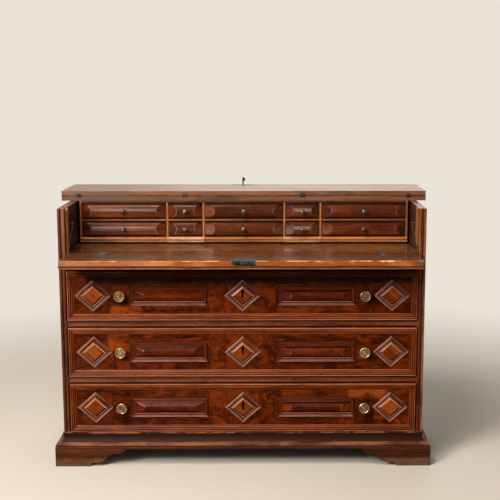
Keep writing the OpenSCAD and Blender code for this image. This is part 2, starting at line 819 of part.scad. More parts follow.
// The nest stands on the writing floor; its rail is cut under, and stands proud under the narrow bays
module nest_base() {
    proud_w = bay_narrow_w + 2 * divider_t;
    color(walnut) in_place() translate([0, nest_y, writing_z]) {
        difference() {
            translate([-nest_w / 2, 0, 0]) cube([nest_w, nest_d, nest_rail_h]);
            translate([-nest_w / 2 - 1, -1, -1]) cube([nest_w + 2, nest_under_d + 1, nest_under_h + 1]);
        }
        nest_rail(nest_w);
        both_sides() translate([x_mid + proud_w / 2, -nest_proud, 0]) {
            translate([-proud_w / 2, 0, nest_under_h])
                cube([proud_w, nest_proud + 1, nest_rail_h - nest_under_h]);
            nest_rail(proud_w);
        }
    }
}

module nest_ends() {
    color(walnut_worn) in_place() both_sides()
        translate([-nest_w / 2, nest_y, bay_z0]) cube([nest_t, nest_d, nest_top_z - bay_z0]);
}

module nest_top() {
    color(walnut_worn) in_place() translate([-nest_w / 2 + nest_t, nest_y, nest_top_z - nest_t])
        cube([nest_w - 2 * nest_t, nest_d, nest_t]);
}

module nest_dividers() {
    color(walnut_worn) in_place() both_sides() for (x = [x_mid, x_narrow + bay_narrow_w]) {
        translate([x, nest_y, bay_z0]) cube([divider_t, nest_d, nest_top_z - nest_t - bay_z0]);
    }
}

module nest_shelves() {
    color(walnut_worn) in_place() for (i = [0:4]) {
        translate([bay_centres[i] - bay_widths[i] / 2, nest_y, bay_z0 + bay_row_h])
            cube([bay_widths[i], nest_d, nest_t]);
    }
}

// A cushion: on a flat base, a round from its lower to its upper edge that slopes down to its ends
module cushion(w, h, base, rise, slope, facets) {
    r = (h * h / 4 + rise * rise) / (2 * rise);
    intersection() {
        along_x(w) union() {
            translate([-base, -h / 2]) square([base, h]);
            intersection() {
                translate([r - rise - base, 0]) circle(r, $fn = facets);
                translate([-rise - base, -h / 2]) square([rise + base, h]);
            }
        }
        translate([0, 0, -h / 2]) linear_extrude(h)
            polygon([[-w / 2, 0], [w / 2, 0], [w / 2, -base], [w / 2 - slope, -base - rise],
                [slope - w / 2, -base - rise], [-w / 2, -base]]);
    }
}

// Small knob: a turned stem and a flattened ball, its axis along Y
module small_knob() {
    r = small_knob_r;
    rotate([90, 0, 0]) rotate_extrude($fn = 40) difference() {
        union() {
            square([0.5 * r, 1.3 * r]);
            square([0.75 * r, 0.25 * r]);
            translate([0, 1.35 * r]) circle(0.85 * r, $fn = 32);
            translate([0, 1.05 * r]) square([r, 0.45 * r]);
        }
        translate([-2 * r, -2 * r]) square([2 * r, 6 * r]);
    }
}

// Small drawers are numbered along the upper row from the left, then the lower row
module small_drawer(n) {
    column = (n - 1) % 5;
    row = n > 5 ? 0 : 1;
    w = bay_widths[column] - 2 * small_gap;
    h = bay_row_h - 2 * small_gap;
    box_w = w - 1;
    floor_t = 5;
    front_y = small_front_t - 1;
    color(walnut_burl) in_place()
        translate([bay_centres[column], nest_y, bay_z0 + row * (bay_row_h + nest_t) + slide_gap]) {
            translate([0, front_y, h / 2]) cushion(w, h, small_front_t, swell, min(42, 0.24 * w), 96);
            difference() {
                translate([-box_w / 2, small_front_t - small_lap, 0]) cube([box_w, small_l, h - 3]);
                translate([-box_w / 2 + small_t, small_front_t, floor_t])
                    cube([box_w - 2 * small_t, small_l - small_t - small_lap, h]);
            }
            translate([0, front_y - small_front_t - swell + 0.1, h / 2]) small_knob();
        }
}

module long_box(n) {
    y0 = front_recess + front_t;
    color(poplar) in_place() translate([0, y0, long_z(n) + slide_gap]) difference() {
        translate([-box_w / 2, 0, 0]) cube([box_w, drawer_side_l, drawer_side_h]);
        translate([-box_w / 2 + drawer_side_t, -1, drawer_bottom_t])
            cube([box_w - 2 * drawer_side_t, drawer_side_l - drawer_side_t + 1, drawer_side_h]);
    }
}

// Keyhole: a round with a slot under it
module keyhole(depth) {
    slot = 1.16 * keyhole_r;
    translate([0, -1, keyhole_up]) along_y(depth + 2) {
        circle(keyhole_r, $fn = 32);
        translate([-slot / 2, -keyhole_drop]) square([slot, keyhole_drop]);
    }
}

module long_front(n) {
    color(walnut_burl) in_place() translate([0, front_recess, long_z(n) + bay_h / 2]) difference() {
        translate([-front_w / 2, 0, -front_h / 2]) cube([front_w, front_t, front_h]);
        keyhole(front_t);
        for (s = [-1, 1]) translate([s * knob_x, -1, 0]) rotate([-90, 0, 0])
            cylinder(r = bolt_r + 0.1, h = front_t + 2, $fn = 32);
    }
}

module long_mouldings(n) {
    color(walnut_worn) in_place() translate([0, front_recess, long_z(n) + bay_h / 2]) {
        frame_ring();
        for (s = [-1, 1]) {
            translate([s * diamond_x, 0, 0]) raised_diamond();
        }
        translate([-panel_x, 0, 0]) hipped_panel();
        translate([panel_x, 0, 0]) cushion_panel();
        difference() {
            raised_diamond();
            translate([0, -2 * relief_h, 0]) keyhole(2 * relief_h);
        }
    }
}

// Brass knob: a small rose, a waisted neck and a broad dished head, with a bolt through the front
knob_profile = [[0.3, 0.26], [0.27, 0.4], [0.4, 0.54], [0.84, 0.62], [0.97, 0.67], [1, 0.74], [0.97, 0.83],
    [0.9, 0.87], [0.79, 0.84], [0.7, 0.77], [0.58, 0.77], [0.5, 0.86], [0.4, 0.87], [0.31, 0.79], [0.22, 0.9],
    [0.1, 0.985], [0, 1]];
module long_knob() {
    rotate([90, 0, 0]) {
        rotate_extrude($fn = 64) polygon(concat(
            [[0, 0], [rose_r, 0], [rose_r, 2.4], [0.62 * rose_r, 3.6]],
            [for (p = knob_profile) [p[0] * knob_r, p[1] * knob_l]]));
        translate([0, 0, -front_t - 3]) cylinder(r = bolt_r, h = front_t + 3.5, $fn = 32);
        translate([0, 0, -front_t - 4]) cylinder(r = 2 * bolt_r, h = 4, $fn = 6);
    }
}

module long_knobs(n) {
    color(brass) in_place() for (s = [-1, 1]) {
        translate([s * knob_x, front_recess, long_z(n) + bay_h / 2]) long_knob();
    }
}

// Lock case behind the front, with its bolt drawn back
module long_lock(n) {
    case_half = 38;
    case_t = 12;
    color(iron) in_place() translate([0, front_recess + front_t, long_z(n) + bay_h / 2]) difference() {
        translate([-case_half, 0, -0.8 * case_half]) cube([2 * case_half, case_t, 1.6 * case_half]);
        keyhole(case_t + 1);
    }
}

side_left();
side_right();
back_panel();
bottom_board();
writing_floor();
top_rail();
drawer_rails();
drawer_runners();
plinth_front();
plinth_sides();
front_foot_left();
front_foot_right();
rear_feet();
fall_stops();
top_rear();
lid_hinges_fixed();
lid_hinge_pins();
fall_hinges_fixed();
fall_hinge_pins();
stay_eyes();
nest_base();
nest_ends();
nest_top();
nest_dividers();
nest_shelves();
lid_flap();
lid_hinges_moving();
lid_hasp();
fall_board();
fall_mouldings();
fall_lock();
fall_hinges_moving();
stay_studs();
stay_left();
stay_right();
long_box(1);  // long_1_box
long_front(1);  // long_1_front
long_mouldings(1);  // long_1_mouldings
long_knobs(1);  // long_1_knobs
long_lock(1);  // long_1_lock
long_box(2);  // long_2_box
long_front(2);  // long_2_front
long_mouldings(2);  // long_2_mouldings
long_knobs(2);  // long_2_knobs
long_lock(2);  // long_2_lock
long_box(3);  // long_3_box
long_front(3);  // long_3_front
long_mouldings(3);  // long_3_mouldings
long_knobs(3);  // long_3_knobs
long_lock(3);  // long_3_lock
small_drawer(1);  // small_1
small_drawer(2);  // small_2
small_drawer(3);  // small_3
small_drawer(4);  // small_4
small_drawer(5);  // small_5
small_drawer(6);  // small_6
small_drawer(7);  // small_7
small_drawer(8);  // small_8
small_drawer(9);  // small_9
small_drawer(10);  // small_10
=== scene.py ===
import math
import random
import bmesh
import bpy
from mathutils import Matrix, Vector, geometry, noise


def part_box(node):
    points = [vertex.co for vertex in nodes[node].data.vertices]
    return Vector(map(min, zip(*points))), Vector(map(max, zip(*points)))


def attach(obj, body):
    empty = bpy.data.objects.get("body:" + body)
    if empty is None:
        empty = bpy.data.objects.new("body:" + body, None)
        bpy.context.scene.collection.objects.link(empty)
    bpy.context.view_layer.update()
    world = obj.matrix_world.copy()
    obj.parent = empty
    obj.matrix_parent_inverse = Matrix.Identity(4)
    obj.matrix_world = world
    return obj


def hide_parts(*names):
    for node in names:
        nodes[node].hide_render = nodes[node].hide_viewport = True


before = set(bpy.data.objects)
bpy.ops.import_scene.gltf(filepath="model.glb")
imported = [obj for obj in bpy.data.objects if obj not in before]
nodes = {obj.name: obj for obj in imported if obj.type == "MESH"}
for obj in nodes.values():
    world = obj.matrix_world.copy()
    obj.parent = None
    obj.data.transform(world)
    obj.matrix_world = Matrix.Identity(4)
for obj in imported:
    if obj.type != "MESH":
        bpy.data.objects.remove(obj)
bpy.context.scene.view_settings.view_transform = "Standard"
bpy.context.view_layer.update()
print("frame loaded,", len(nodes), "nodes")


def rgb(red, green, blue):  # 0 to 255 as seen on screen, to the linear colour of a socket
    def linear(value):
        value = value / 255
        return value / 12.92 if value < 0.04045 else ((value + 0.055) / 1.055) ** 2.4
    return (linear(red), linear(green), linear(blue), 1.0)


def putIn(name, data):
    thing = bpy.data.objects.new(name, data)
    bpy.context.scene.collection.objects.link(thing)
    return thing


# Node trees

class Wire:  # one output socket that takes part in sums
    def __init__(self, tree, socket):
        self.tree = tree
        self.socket = socket

    def math(self, operation, other=None, swap=False):
        terms = [other, self] if swap else [self, other]
        terms = {i: t for i, t in enumerate(terms) if t is not None}
        return self.tree.node("Math", {"operation": operation}, terms, prefix="ShaderNode")[0]

    def __add__(self, other):
        return self.math("ADD", other)

    def __radd__(self, other):
        return self.math("ADD", other, swap=True)

    def __sub__(self, other):
        return self.math("SUBTRACT", other)

    def __rsub__(self, other):
        return self.math("SUBTRACT", other, swap=True)

    def __mul__(self, other):
        return self.math("MULTIPLY", other)

    def __rmul__(self, other):
        return self.math("MULTIPLY", other, swap=True)

    def __pow__(self, other):
        return self.math("POWER", other)

    def over(self, low, high):  # smooth step from 0 at low to 1 at high
        ends = {0: self, 1: low, 2: high, 3: 0.0, 4: 1.0}
        return self.tree.node("MapRange", {"interpolation_type": "SMOOTHSTEP"}, ends, prefix="ShaderNode")[0]

    def above(self, edge):
        return self.math("GREATER_THAN", edge)

    def size(self):
        return self.math("ABSOLUTE")


class Made:  # a node whose outputs are read as wires
    def __init__(self, tree, made):
        self.tree = tree
        self.made = made

    def __getitem__(self, key):
        return Wire(self.tree, self.made.outputs[key])


class Tree:
    def __init__(self, nodeTree, prefix):
        self.nodeTree = nodeTree
        self.prefix = prefix

    def node(self, kind, settings=None, inputs=None, prefix=None):
        made = self.nodeTree.nodes.new((prefix or self.prefix) + kind)
        for key, value in (settings or {}).items():
            if key == "stops":
                fillRamp(made.color_ramp, value)
            else:
                setattr(made, key, value)
        for key, value in (inputs or {}).items():
            self.join(value, made.inputs[key])
        return Made(self, made)

    def join(self, value, socket):
        if isinstance(value, Wire):
            self.nodeTree.links.new(value.socket, socket)
        else:
            socket.default_value = value


def fillRamp(ramp, stops):
    while len(ramp.elements) < len(stops):
        ramp.elements.new(0.5)
    for element, (place, colour) in zip(ramp.elements, stops):
        element.position = place
        element.color = colour


class Paint(Tree):  # the node tree of one material
    def __init__(self, name):
        self.material = bpy.data.materials.new(name)
        self.material.use_nodes = True
        super().__init__(self.material.node_tree, "ShaderNode")
        self.nodeTree.nodes.clear()

    def point(self, x, y, z):
        return self.node("CombineXYZ", None, {0: x, 1: y, 2: z})[0]

    def split(self, vector):
        parts = self.node("SeparateXYZ", None, {0: vector})
        return parts[0], parts[1], parts[2]

    def vector(self, operation, first, second, out=0):
        return self.node("VectorMath", {"operation": operation}, {0: first, 1: second})[out]

    def arris(self, radius, reach):  # a rounded normal, how far it bends off at an edge, how open a spot is
        bevel = self.node("Bevel", {"samples": 4}, {"Radius": radius})[0]
        bend = 1.0 - self.vector("DOT_PRODUCT", bevel, self.node("NewGeometry")["Normal"], "Value")
        settings = {"samples": 6, "only_local": True}
        return bevel, bend, self.node("AmbientOcclusion", settings, {"Distance": reach})["AO"]

    def noise(self, vector, scale, detail=2.0, rough=0.5, distortion=0.0):
        inputs = {"Vector": vector, "Scale": scale, "Detail": detail, "Roughness": rough,
                  "Distortion": distortion}
        return self.node("TexNoise", None, inputs)["Fac"]

    def mix(self, factor, first, second, blend="MIX"):
        settings = {"data_type": "RGBA", "blend_type": blend, "clamp_factor": True}
        return self.node("Mix", settings, {0: factor, 6: first, 7: second})[2]

    def ramp(self, value, stops):
        return self.node("ValToRGB", {"stops": stops}, {0: value})["Color"]

    def grey(self, value):
        return self.node("CombineColor", None, {0: value, 1: value, 2: value})[0]

    def attribute(self, name):
        return self.node("Attribute", {"attribute_name": name}, None)["Fac"]

    def finish(self, inputs):
        shader = self.node("BsdfPrincipled", None, inputs)
        self.node("OutputMaterial", None, {0: shader[0]})
        return self.material


# Wood

# a look's worn tint also gives painted highlights, and its grime tint painted shade, where pieces mark them
woodLooks = {
    "shared": {"grime": (14, 5, 2), "streak": 0.9, "figure": 0.2, "rough": 0.28, "edge": 0.001,
               "wearAmount": 0.7, "shine": 0.12, "coat": 0.1, "polish": 1.5},
    "case": {"deep": (34, 12, 4), "body": (80, 34, 11), "light": (118, 58, 24), "worn": (186, 120, 80),
             "grime": (14, 6, 3), "streak": 1.0, "figure": 0.25, "rough": 0.34, "edge": 0.0022,
             "shine": 0.35},
    "rail": {"deep": (52, 20, 7), "body": (108, 50, 22), "light": (148, 80, 42), "worn": (192, 128, 92),
             "grime": (14, 6, 3), "streak": 1.0, "figure": 0.25, "rough": 0.34, "edge": 0.0022,
             "wearAmount": 0.8, "shine": 0.3},
    "dull": {"deep": (34, 14, 6), "body": (74, 34, 16), "light": (100, 52, 28), "worn": (156, 104, 72),
             "grime": (14, 6, 3), "rough": 0.50, "edge": 0.0022, "wearAmount": 0.75, "coat": 0.0},
    "edge": {"deep": (96, 46, 16), "body": (152, 84, 36), "light": (192, 118, 60), "worn": (220, 160, 110),
             "grime": (40, 16, 6), "rough": 0.38, "edge": 0.0015, "wearAmount": 0.5, "shine": 0.35},
    "top": {"deep": (62, 32, 16), "body": (118, 72, 42), "light": (150, 100, 64), "worn": (196, 146, 106),
            "grime": (30, 16, 9), "streak": 1.0, "rough": 0.42, "edge": 0.003, "shine": 0.33,
            "coat": 0.06},
    "writing": {"deep": (44, 22, 7), "body": (92, 50, 18), "light": (126, 76, 32), "worn": (208, 136, 80),
                "grime": (26, 12, 5), "streak": 1.2, "figure": 0.5, "rough": 0.30, "edge": 0.003,
                "wearAmount": 0.8, "shine": 0.15, "coat": 0.5},
    "burl": {"deep": (30, 9, 1), "body": (78, 25, 2), "light": (124, 46, 6), "worn": (170, 90, 46),
             "flame": (156, 60, 8), "streak": 0.4, "figure": 0.85, "rough": 0.30, "edge": 0.0015,
             "wearAmount": 0.3, "coat": 0.14},
    "cushion": {"deep": (38, 13, 3), "body": (78, 31, 8), "light": (114, 52, 16), "worn": (206, 146, 110),
                "figure": 0.3, "rough": 0.36, "wearAmount": 0.6, "shine": 0.06, "coat": 0.9,
                "polish": 1.75},
    "field": {"deep": (36, 9, 1), "body": (84, 27, 3), "light": (126, 48, 7), "worn": (212, 146, 98),
              "streak": 0.6, "figure": 0.5, "rough": 0.34, "wearAmount": 0.8, "shine": 0.08},
    "moulding": {"deep": (58, 20, 5), "body": (122, 52, 16), "light": (166, 82, 30),
                 "worn": (204, 134, 96), "grime": (14, 5, 3), "wearAmount": 0.66, "shine": 0.15,
                 "coat": 0.08},
    "relief": {"deep": (38, 13, 5), "body": (92, 37, 15), "light": (126, 58, 28), "worn": (220, 166, 146),
               "grime": (10, 3, 2), "wearAmount": 0.92, "shine": 0.14, "coat": 0.06},
    "diamond": {"deep": (74, 26, 5), "body": (126, 50, 10), "light": (164, 78, 22),
                "worn": (226, 160, 112), "grime": (20, 7, 3), "streak": 1.0, "figure": 0.3, "shine": 0.2,
                "coat": 0.12},
    "plain": {"deep": (100, 64, 36), "body": (156, 114, 74), "light": (184, 146, 104),
              "worn": (204, 172, 134), "grime": (56, 36, 22), "streak": 1.2, "figure": 0.3, "rough": 0.7,
              "wearAmount": 0.3, "shine": 0.2, "coat": 0.0},
}
grainScales = {"coarse": 38.0, "fine": 210.0, "pores": 1300.0, "swirl": 11.0, "cloud": 4.3, "rubbed": 22.0,
               "blots": 24.0, "flames": 17.0}


def lookOf(looks, name):  # a look's own values over the shared ones, its tints made linear
    both = {**looks["shared"], **looks[name]}
    return {key: rgb(*value) if isinstance(value, tuple) else value for key, value in both.items()}


def woodFinish(name, look, grain="X", seed=0.0, zones=(), sheets=None):
    # grain is the axis the fibres follow, or "strip" for a piece with its own lengths and its marks of wear
    # and painted highlight, grime and painted shade
    # zones are boxes of another tint; sheets are the cuts between the veneers of a front
    look, scale = lookOf(woodLooks, look), grainScales
    p = Paint(name)
    strip = grain == "strip"
    if strip:
        along, across, _ = p.split(p.node("UVMap", {"uv_map": "strip"})["UV"])
        tone = p.attribute("tone")
        depth = tone * 7.0
    else:
        x, y, z = p.split(p.node("TexCoord")["Object"])
        along, across, depth = {"X": (x, y, z), "Y": (y, z, x), "Z": (z, x, y)}[grain]
        bevel, bend, openness = p.arris(look["edge"], 0.012)
    if sheets:
        along, across, sheet, joint = veneers(p, x, z, sheets)
        depth = depth + sheet * 3.7
    along = along + seed * 1.31
    depth = depth + seed * 0.77
    place = p.point(along, across, depth)
    drift = p.noise(p.point(along * 0.7, across, depth), 3.1, 2.0) - 0.5
    fibreAcross = across + drift * 0.05
    fibreDepth = depth + drift * 0.03

    def fibres(stretch, size, *values):  # noise drawn out along the grain
        return p.noise(p.point(along * stretch, fibreAcross * size, fibreDepth * size), 1.0, *values)
    coarse = fibres(1.4, scale["coarse"], 3.0, 0.6)
    fine = fibres(6.0, scale["fine"], 3.0, 0.6)
    pores = fibres(45.0, scale["pores"], 1.0).over(0.58, 0.72)
    swirl = p.noise(p.point(along * 0.8, across, depth), scale["swirl"], 5.0, 0.6, 2.4)
    cloud = p.noise(place, scale["cloud"], 3.0, 0.55)
    value = 0.5 + (coarse - 0.5) * (0.825 * look["streak"]) + (fine - 0.5) * 0.5
    value = value + (swirl - 0.5) * (1.425 * look["figure"]) + (cloud - 0.5) * 0.5
    colour = p.ramp(value, [(0.22, look["deep"]), (0.47, look["body"]), (0.74, look["light"])])
    colour = p.mix(pores * 0.35, colour, look["deep"])
    if sheets:
        blots = p.noise(p.point(along * 0.6, across, depth), scale["blots"], 3.0, 0.62, 0.6).over(0.56, 0.68)
        flames = p.point(along * 0.5, across * 1.6, depth + 4.0)
        flames = p.noise(flames, scale["flames"], 4.0, 0.6, 1.6).over(0.54, 0.72)
        colour = p.mix(flames * 0.45, colour, look["flame"])
        colour = p.mix(blots * 0.5, colour, look["deep"])
        tint = p.node("TexWhiteNoise", {"noise_dimensions": "1D"}, {"W": sheet * 1.37 + seed})["Value"]
        colour = p.mix(1.0, colour, p.grey(0.74 + tint * 0.5), "MULTIPLY")
        colour = p.mix(joint * 0.8, colour, look["grime"])
    rubbed = p.noise(place, scale["rubbed"], 4.0, 0.6)
    if strip:
        colour = p.mix(0.8, colour, p.grey(0.62 + tone * 0.76), "MULTIPLY")
        wear = (p.attribute("wear") * (0.5 + rubbed * 0.8)).over(0.42, 0.98)
        grime = p.attribute("grime")
    else:
        wear = (bend * 7.0).over(0.05, 0.9) * openness.over(0.5, 0.95) * rubbed.over(0.3, 0.62)
        # darker where a spot is shut in: grime, and painted shade
        grime = 1.0 - openness
    for spot in zones:
        mask = zoneMask(p, spot)
        if spot["broken"]:
            size, first, last = spot["broken"]
            mask = mask * p.noise(p.point(along * 0.5, across, depth), size, 4.0, 0.65).over(first, last)
        colour = p.mix(mask * spot["strength"], colour, spot["tint"])
    # paler towards the worn tint: wear, and painted highlight where pieces mark lit rims and creases
    colour = p.mix((wear * look["wearAmount"]).over(0.0, 1.0), colour, look["worn"])
    # darkened towards the grime tint: grime, and painted shade where pieces mark shaded corners and gaps
    colour = p.mix((grime * (0.6 + cloud)).over(0.25, 0.95) * 0.85, colour, look["grime"])
    rough = look["rough"] + (cloud - 0.5) * 0.25 + (fine - 0.5) * 0.12 + grime * 0.25
    height = fine * 0.5 + pores * -0.5 + rubbed * 0.6 + cloud * 2.0
    bump = {"Height": height, "Strength": 0.35, "Distance": 0.0009}
    if not strip:
        bump["Normal"] = bevel
    coat = (1.0 - grime * 1.8).over(0.0, 1.0) * look["coat"]
    return p.finish({"Base Color": colour, "Roughness": rough, "Normal": p.node("Bump", None, bump)[0],
                     "Specular IOR Level": look["shine"], "Coat Weight": coat, "Coat Roughness": 0.12,
                     "Coat IOR": look["polish"]})


def veneers(p, x, z, sheets):  # which sheet a point lies on, its own directions and its joints
    sheet, joint, upright = 0.0, 0.0, 0.0
    for place, cut in enumerate(sheets["across"]):
        sheet = x.above(cut) * (1.7 + 0.6 * place) + sheet
        joint = 1.0 - (x - cut).size().over(0.0003, 0.0011) + joint
    for low, high in sheets["upright"]:  # stretches whose fibres stand upright
        upright = x.above(low) * (1.0 - x.above(high)) + upright
    column = x.size().above(sheets["column"][0]) * (1.0 - x.size().above(sheets["column"][1]))
    for cut in sheets["up"]:
        sheet = z.above(cut) * column * 0.9 + sheet
        joint = joint + column * (1.0 - (z - cut).size().over(0.0003, 0.0011))
    along = x + (z - x) * upright
    across = z + (x - z) * upright
    return along, across, sheet, joint


def zone(tint, strength, x=(None, None), y=(None, None), z=(None, None), broken=None, soft=0.0015,
         wander=0.0):
    # a box of another tint in the object's own metres, open at a None, with a soft or wandering edge
    # broken is the scale of a noise that breaks it up, and the two levels between which it fades in
    return {"tint": rgb(*tint), "strength": strength, "sides": (x, y, z), "broken": broken, "soft": soft,
            "wander": wander}


def zoneMask(p, spot):
    place = p.node("TexCoord")["Object"]
    if spot["wander"]:
        inputs = {"Vector": place, "Scale": 7.0, "Detail": 4.0, "Roughness": 0.6}
        drift = p.vector("SUBTRACT", p.node("TexNoise", None, inputs)["Color"], (0.5, 0.5, 0.5))
        drift = p.vector("MULTIPLY", drift, (spot["wander"], 0.0, spot["wander"] * 0.3))
        place = p.vector("ADD", place, drift)
    mask = None
    for value, ends in zip(p.split(place), spot["sides"]):
        for edge, isUpper in zip(ends, (False, True)):
            if edge is not None:
                side = value.over(edge - spot["soft"], edge + spot["soft"])
                side = 1.0 - side if isUpper else side
                mask = side if mask is None else mask * side
    return mask


metalLooks = {
    "shared": {"edge": 0.0008, "reach": 0.005},
    "iron": {"dark": (38, 34, 31), "pale": (96, 88, 80), "tarnish": (74, 50, 36), "rough": 0.52,
             "metal": 0.85},
    "brass": {"dark": (150, 118, 72), "pale": (240, 214, 162), "tarnish": (80, 58, 32), "rough": 0.32,
              "metal": 0.8},
    "paleIron": {"dark": (88, 76, 62), "pale": (156, 140, 118), "tarnish": (82, 54, 34), "rough": 0.55,
                 "metal": 0.6},
    "rustyIron": {"dark": (46, 36, 28), "pale": (116, 104, 88), "tarnish": (78, 48, 28), "rough": 0.6,
                  "metal": 0.5},
    "bronze": {"dark": (72, 64, 50), "pale": (140, 128, 106), "tarnish": (44, 34, 26), "rough": 0.4,
               "metal": 0.75},
}


def metalFinish(name, seed=0.0):
    look = lookOf(metalLooks, name)
    p = Paint(name)
    place = p.vector("ADD", p.node("TexCoord")["Object"], (seed, seed * 0.7, seed * 1.3))
    cloud = p.noise(place, 60.0, 4.0, 0.6)
    grain = p.noise(place, 900.0, 2.0)
    spots = p.noise(place, 260.0, 3.0, 0.65).over(0.55, 0.7)
    bevel, bend, openness = p.arris(look["edge"], look["reach"])
    shut = 1.0 - openness
    colour = p.mix(cloud.over(0.35, 0.7), look["dark"], look["pale"])
    colour = p.mix((bend * 6.0).over(0.05, 0.8) * openness * 0.7, colour, look["pale"])
    colour = p.mix((spots * 0.5 + shut).over(0.0, 1.2), colour, look["tarnish"])
    rough = look["rough"] + (cloud - 0.5) * 0.3 + spots * 0.25 + shut * 0.3
    height = cloud * 0.8 + grain * 0.2 + spots * -0.3
    bump = {"Height": height, "Strength": 0.4, "Distance": 0.0006, "Normal": bevel}
    return p.finish({"Base Color": colour, "Metallic": look["metal"], "Roughness": rough,
                     "Normal": p.node("Bump", None, bump)[0]})


# Meshes

class Shape:  # gathers faces whose corners carry lengths, wear and painted highlight, grime and painted shade, and tone
    def __init__(self):
        self.points, self.faces, self.corners = [], [], []

    def face(self, places, marks):
        self.faces.append(tuple(places))
        self.corners.extend(marks)

    def grid(self, rows, tone):  # rows of (point, (u, v), wear and painted highlight, grime and painted shade), joined to quads
        start, width = len(self.points), len(rows[0])
        marks = [(length, wear, grime, tone) for row in rows for _, length, wear, grime in row]
        self.points.extend(spot[0] for row in rows for spot in row)
        for r in range(len(rows) - 1):
            for c in range(width - 1):
                a = r * width + c
                ring = (a, a + 1, a + width + 1, a + width)
                self.face([start + i for i in ring], [marks[i] for i in ring])

    def plate(self, rim, y, tone, hole=None, lay=lambda x, z: (x, z)):
        # a flat face across Y inside a rim of (x, z), with a hole if given; lay says how its fibres run
        loops = [rim] + ([hole] if hole else [])
        flat = [spot for loop in loops for spot in loop]
        start = len(self.points)
        self.points.extend((x, y, z) for x, z in flat)
        loops = [[Vector((x, z, 0)) for x, z in loop] for loop in loops]
        for trio in geometry.tessellate_polygon(loops):
            if len(set(trio)) == 3:
                self.face([start + i for i in trio], [(lay(*flat[i]), 0.05, 0.0, tone) for i in trio])

    def build(self, name, material, body, slot, replaced=(), angle=32):
        mesh = bpy.data.meshes.new(name)
        mesh.from_pydata(self.points, [], self.faces)
        mesh.uv_layers.new(name="strip").data.foreach_set("uv", [n for mark in self.corners for n in mark[0]])
        for place, mark in enumerate(("wear", "grime", "tone"), 1):
            values = mesh.attributes.new(mark, "FLOAT", "CORNER")
            values.data.foreach_set("value", [corner[place] for corner in self.corners])
        return finishMesh(mesh, name, material, body, replaced, angle)


def finishMesh(mesh, name, material, body, replaced=(), angle=32):
    tidy = bmesh.new()
    tidy.from_mesh(mesh)
    bmesh.ops.remove_doubles(tidy, verts=tidy.verts, dist=0.00001)
    bmesh.ops.recalc_face_normals(tidy, faces=tidy.faces)
    tidy.to_mesh(mesh)
    tidy.free()
    mesh.polygons.foreach_set("use_smooth", [True] * len(mesh.polygons))
    mesh.set_sharp_from_angle(angle=math.radians(angle))
    piece = putIn(name, mesh)
    mesh.materials.clear()
    mesh.materials.append(material)
    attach(piece, body)
    if replaced:
        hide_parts(*replaced)
    return piece


# Camera, lamps, floor

cameraSettings = {"place": (0.1076, -4.3366, 1.5610), "turn": 0.425, "down": 9.037, "lens": 73.377,
                  "shiftX": -0.0523, "shiftY": 0.001}


def placeCamera(settings):
    lens = bpy.data.cameras.new("camera")
    lens.sensor_width = 36
    lens.lens = settings["lens"]
    lens.shift_x = settings["shiftX"]
    lens.shift_y = settings["shiftY"]
    camera = putIn("camera", lens)
    camera.location = settings["place"]
    camera.rotation_euler = (math.radians(90 - settings["down"]), 0, math.radians(-settings["turn"]))
    bpy.context.scene.camera = camera


lampSettings = {
    "window": {"place": (-2.55, -3.40, 2.75), "aim": (0.0, -0.2, 0.60), "size": (1.4, 1.2), "power": 190},
    "ceiling": {"place": (-0.95, -2.00, 3.90), "aim": (0.0, -0.1, 0.8), "size": (1.7, 1.6), "power": 112},
    "bounce": {"place": (2.7, -3.2, 2.3), "aim": (0.0, 0.0, 0.7), "size": (1.2, 1.2), "power": 17},
    "rear": {"place": (0.6, 3.2, 2.8), "aim": (0.0, 0.0, 0.7), "size": (2.6, 1.6), "power": 40},
    "pane": {"place": (-0.99, -3.40, 1.20), "aim": (-0.50, 0.0, 1.0), "size": (0.50, 1.15), "power": 4.2},
    "sidePane": {"place": (-2.68, -3.20, 1.20), "aim": (-0.15, 0.0, 1.0), "size": (0.22, 1.20), "power": 1.4},
    "door": {"place": (0.36, -3.40, 1.14), "aim": (0.25, 0.0, 1.0), "size": (0.13, 1.25), "power": 2.2},
}
lampTint = (1.0, 0.965, 0.92)
roomSettings = {"ambient": 0.055, "wall": rgb(234, 227, 216), "dim": 0.05, "floor": rgb(216, 205, 190),
                "boards": rgb(66, 50, 36), "floorSize": 9.0, "fade": (1.1, 3.4)}


def placeLamps(settings):
    for name, lamp in settings.items():
        light = bpy.data.lights.new(name, "AREA")
        light.shape = "RECTANGLE"
        light.size, light.size_y = lamp["size"]
        light.energy = lamp["power"]
        light.color = lampTint
        holder = putIn(name, light)
        holder.location = lamp["place"]
        way = Vector(lamp["aim"]) - Vector(lamp["place"])
        holder.rotation_euler = way.to_track_quat("-Z", "Y").to_euler()


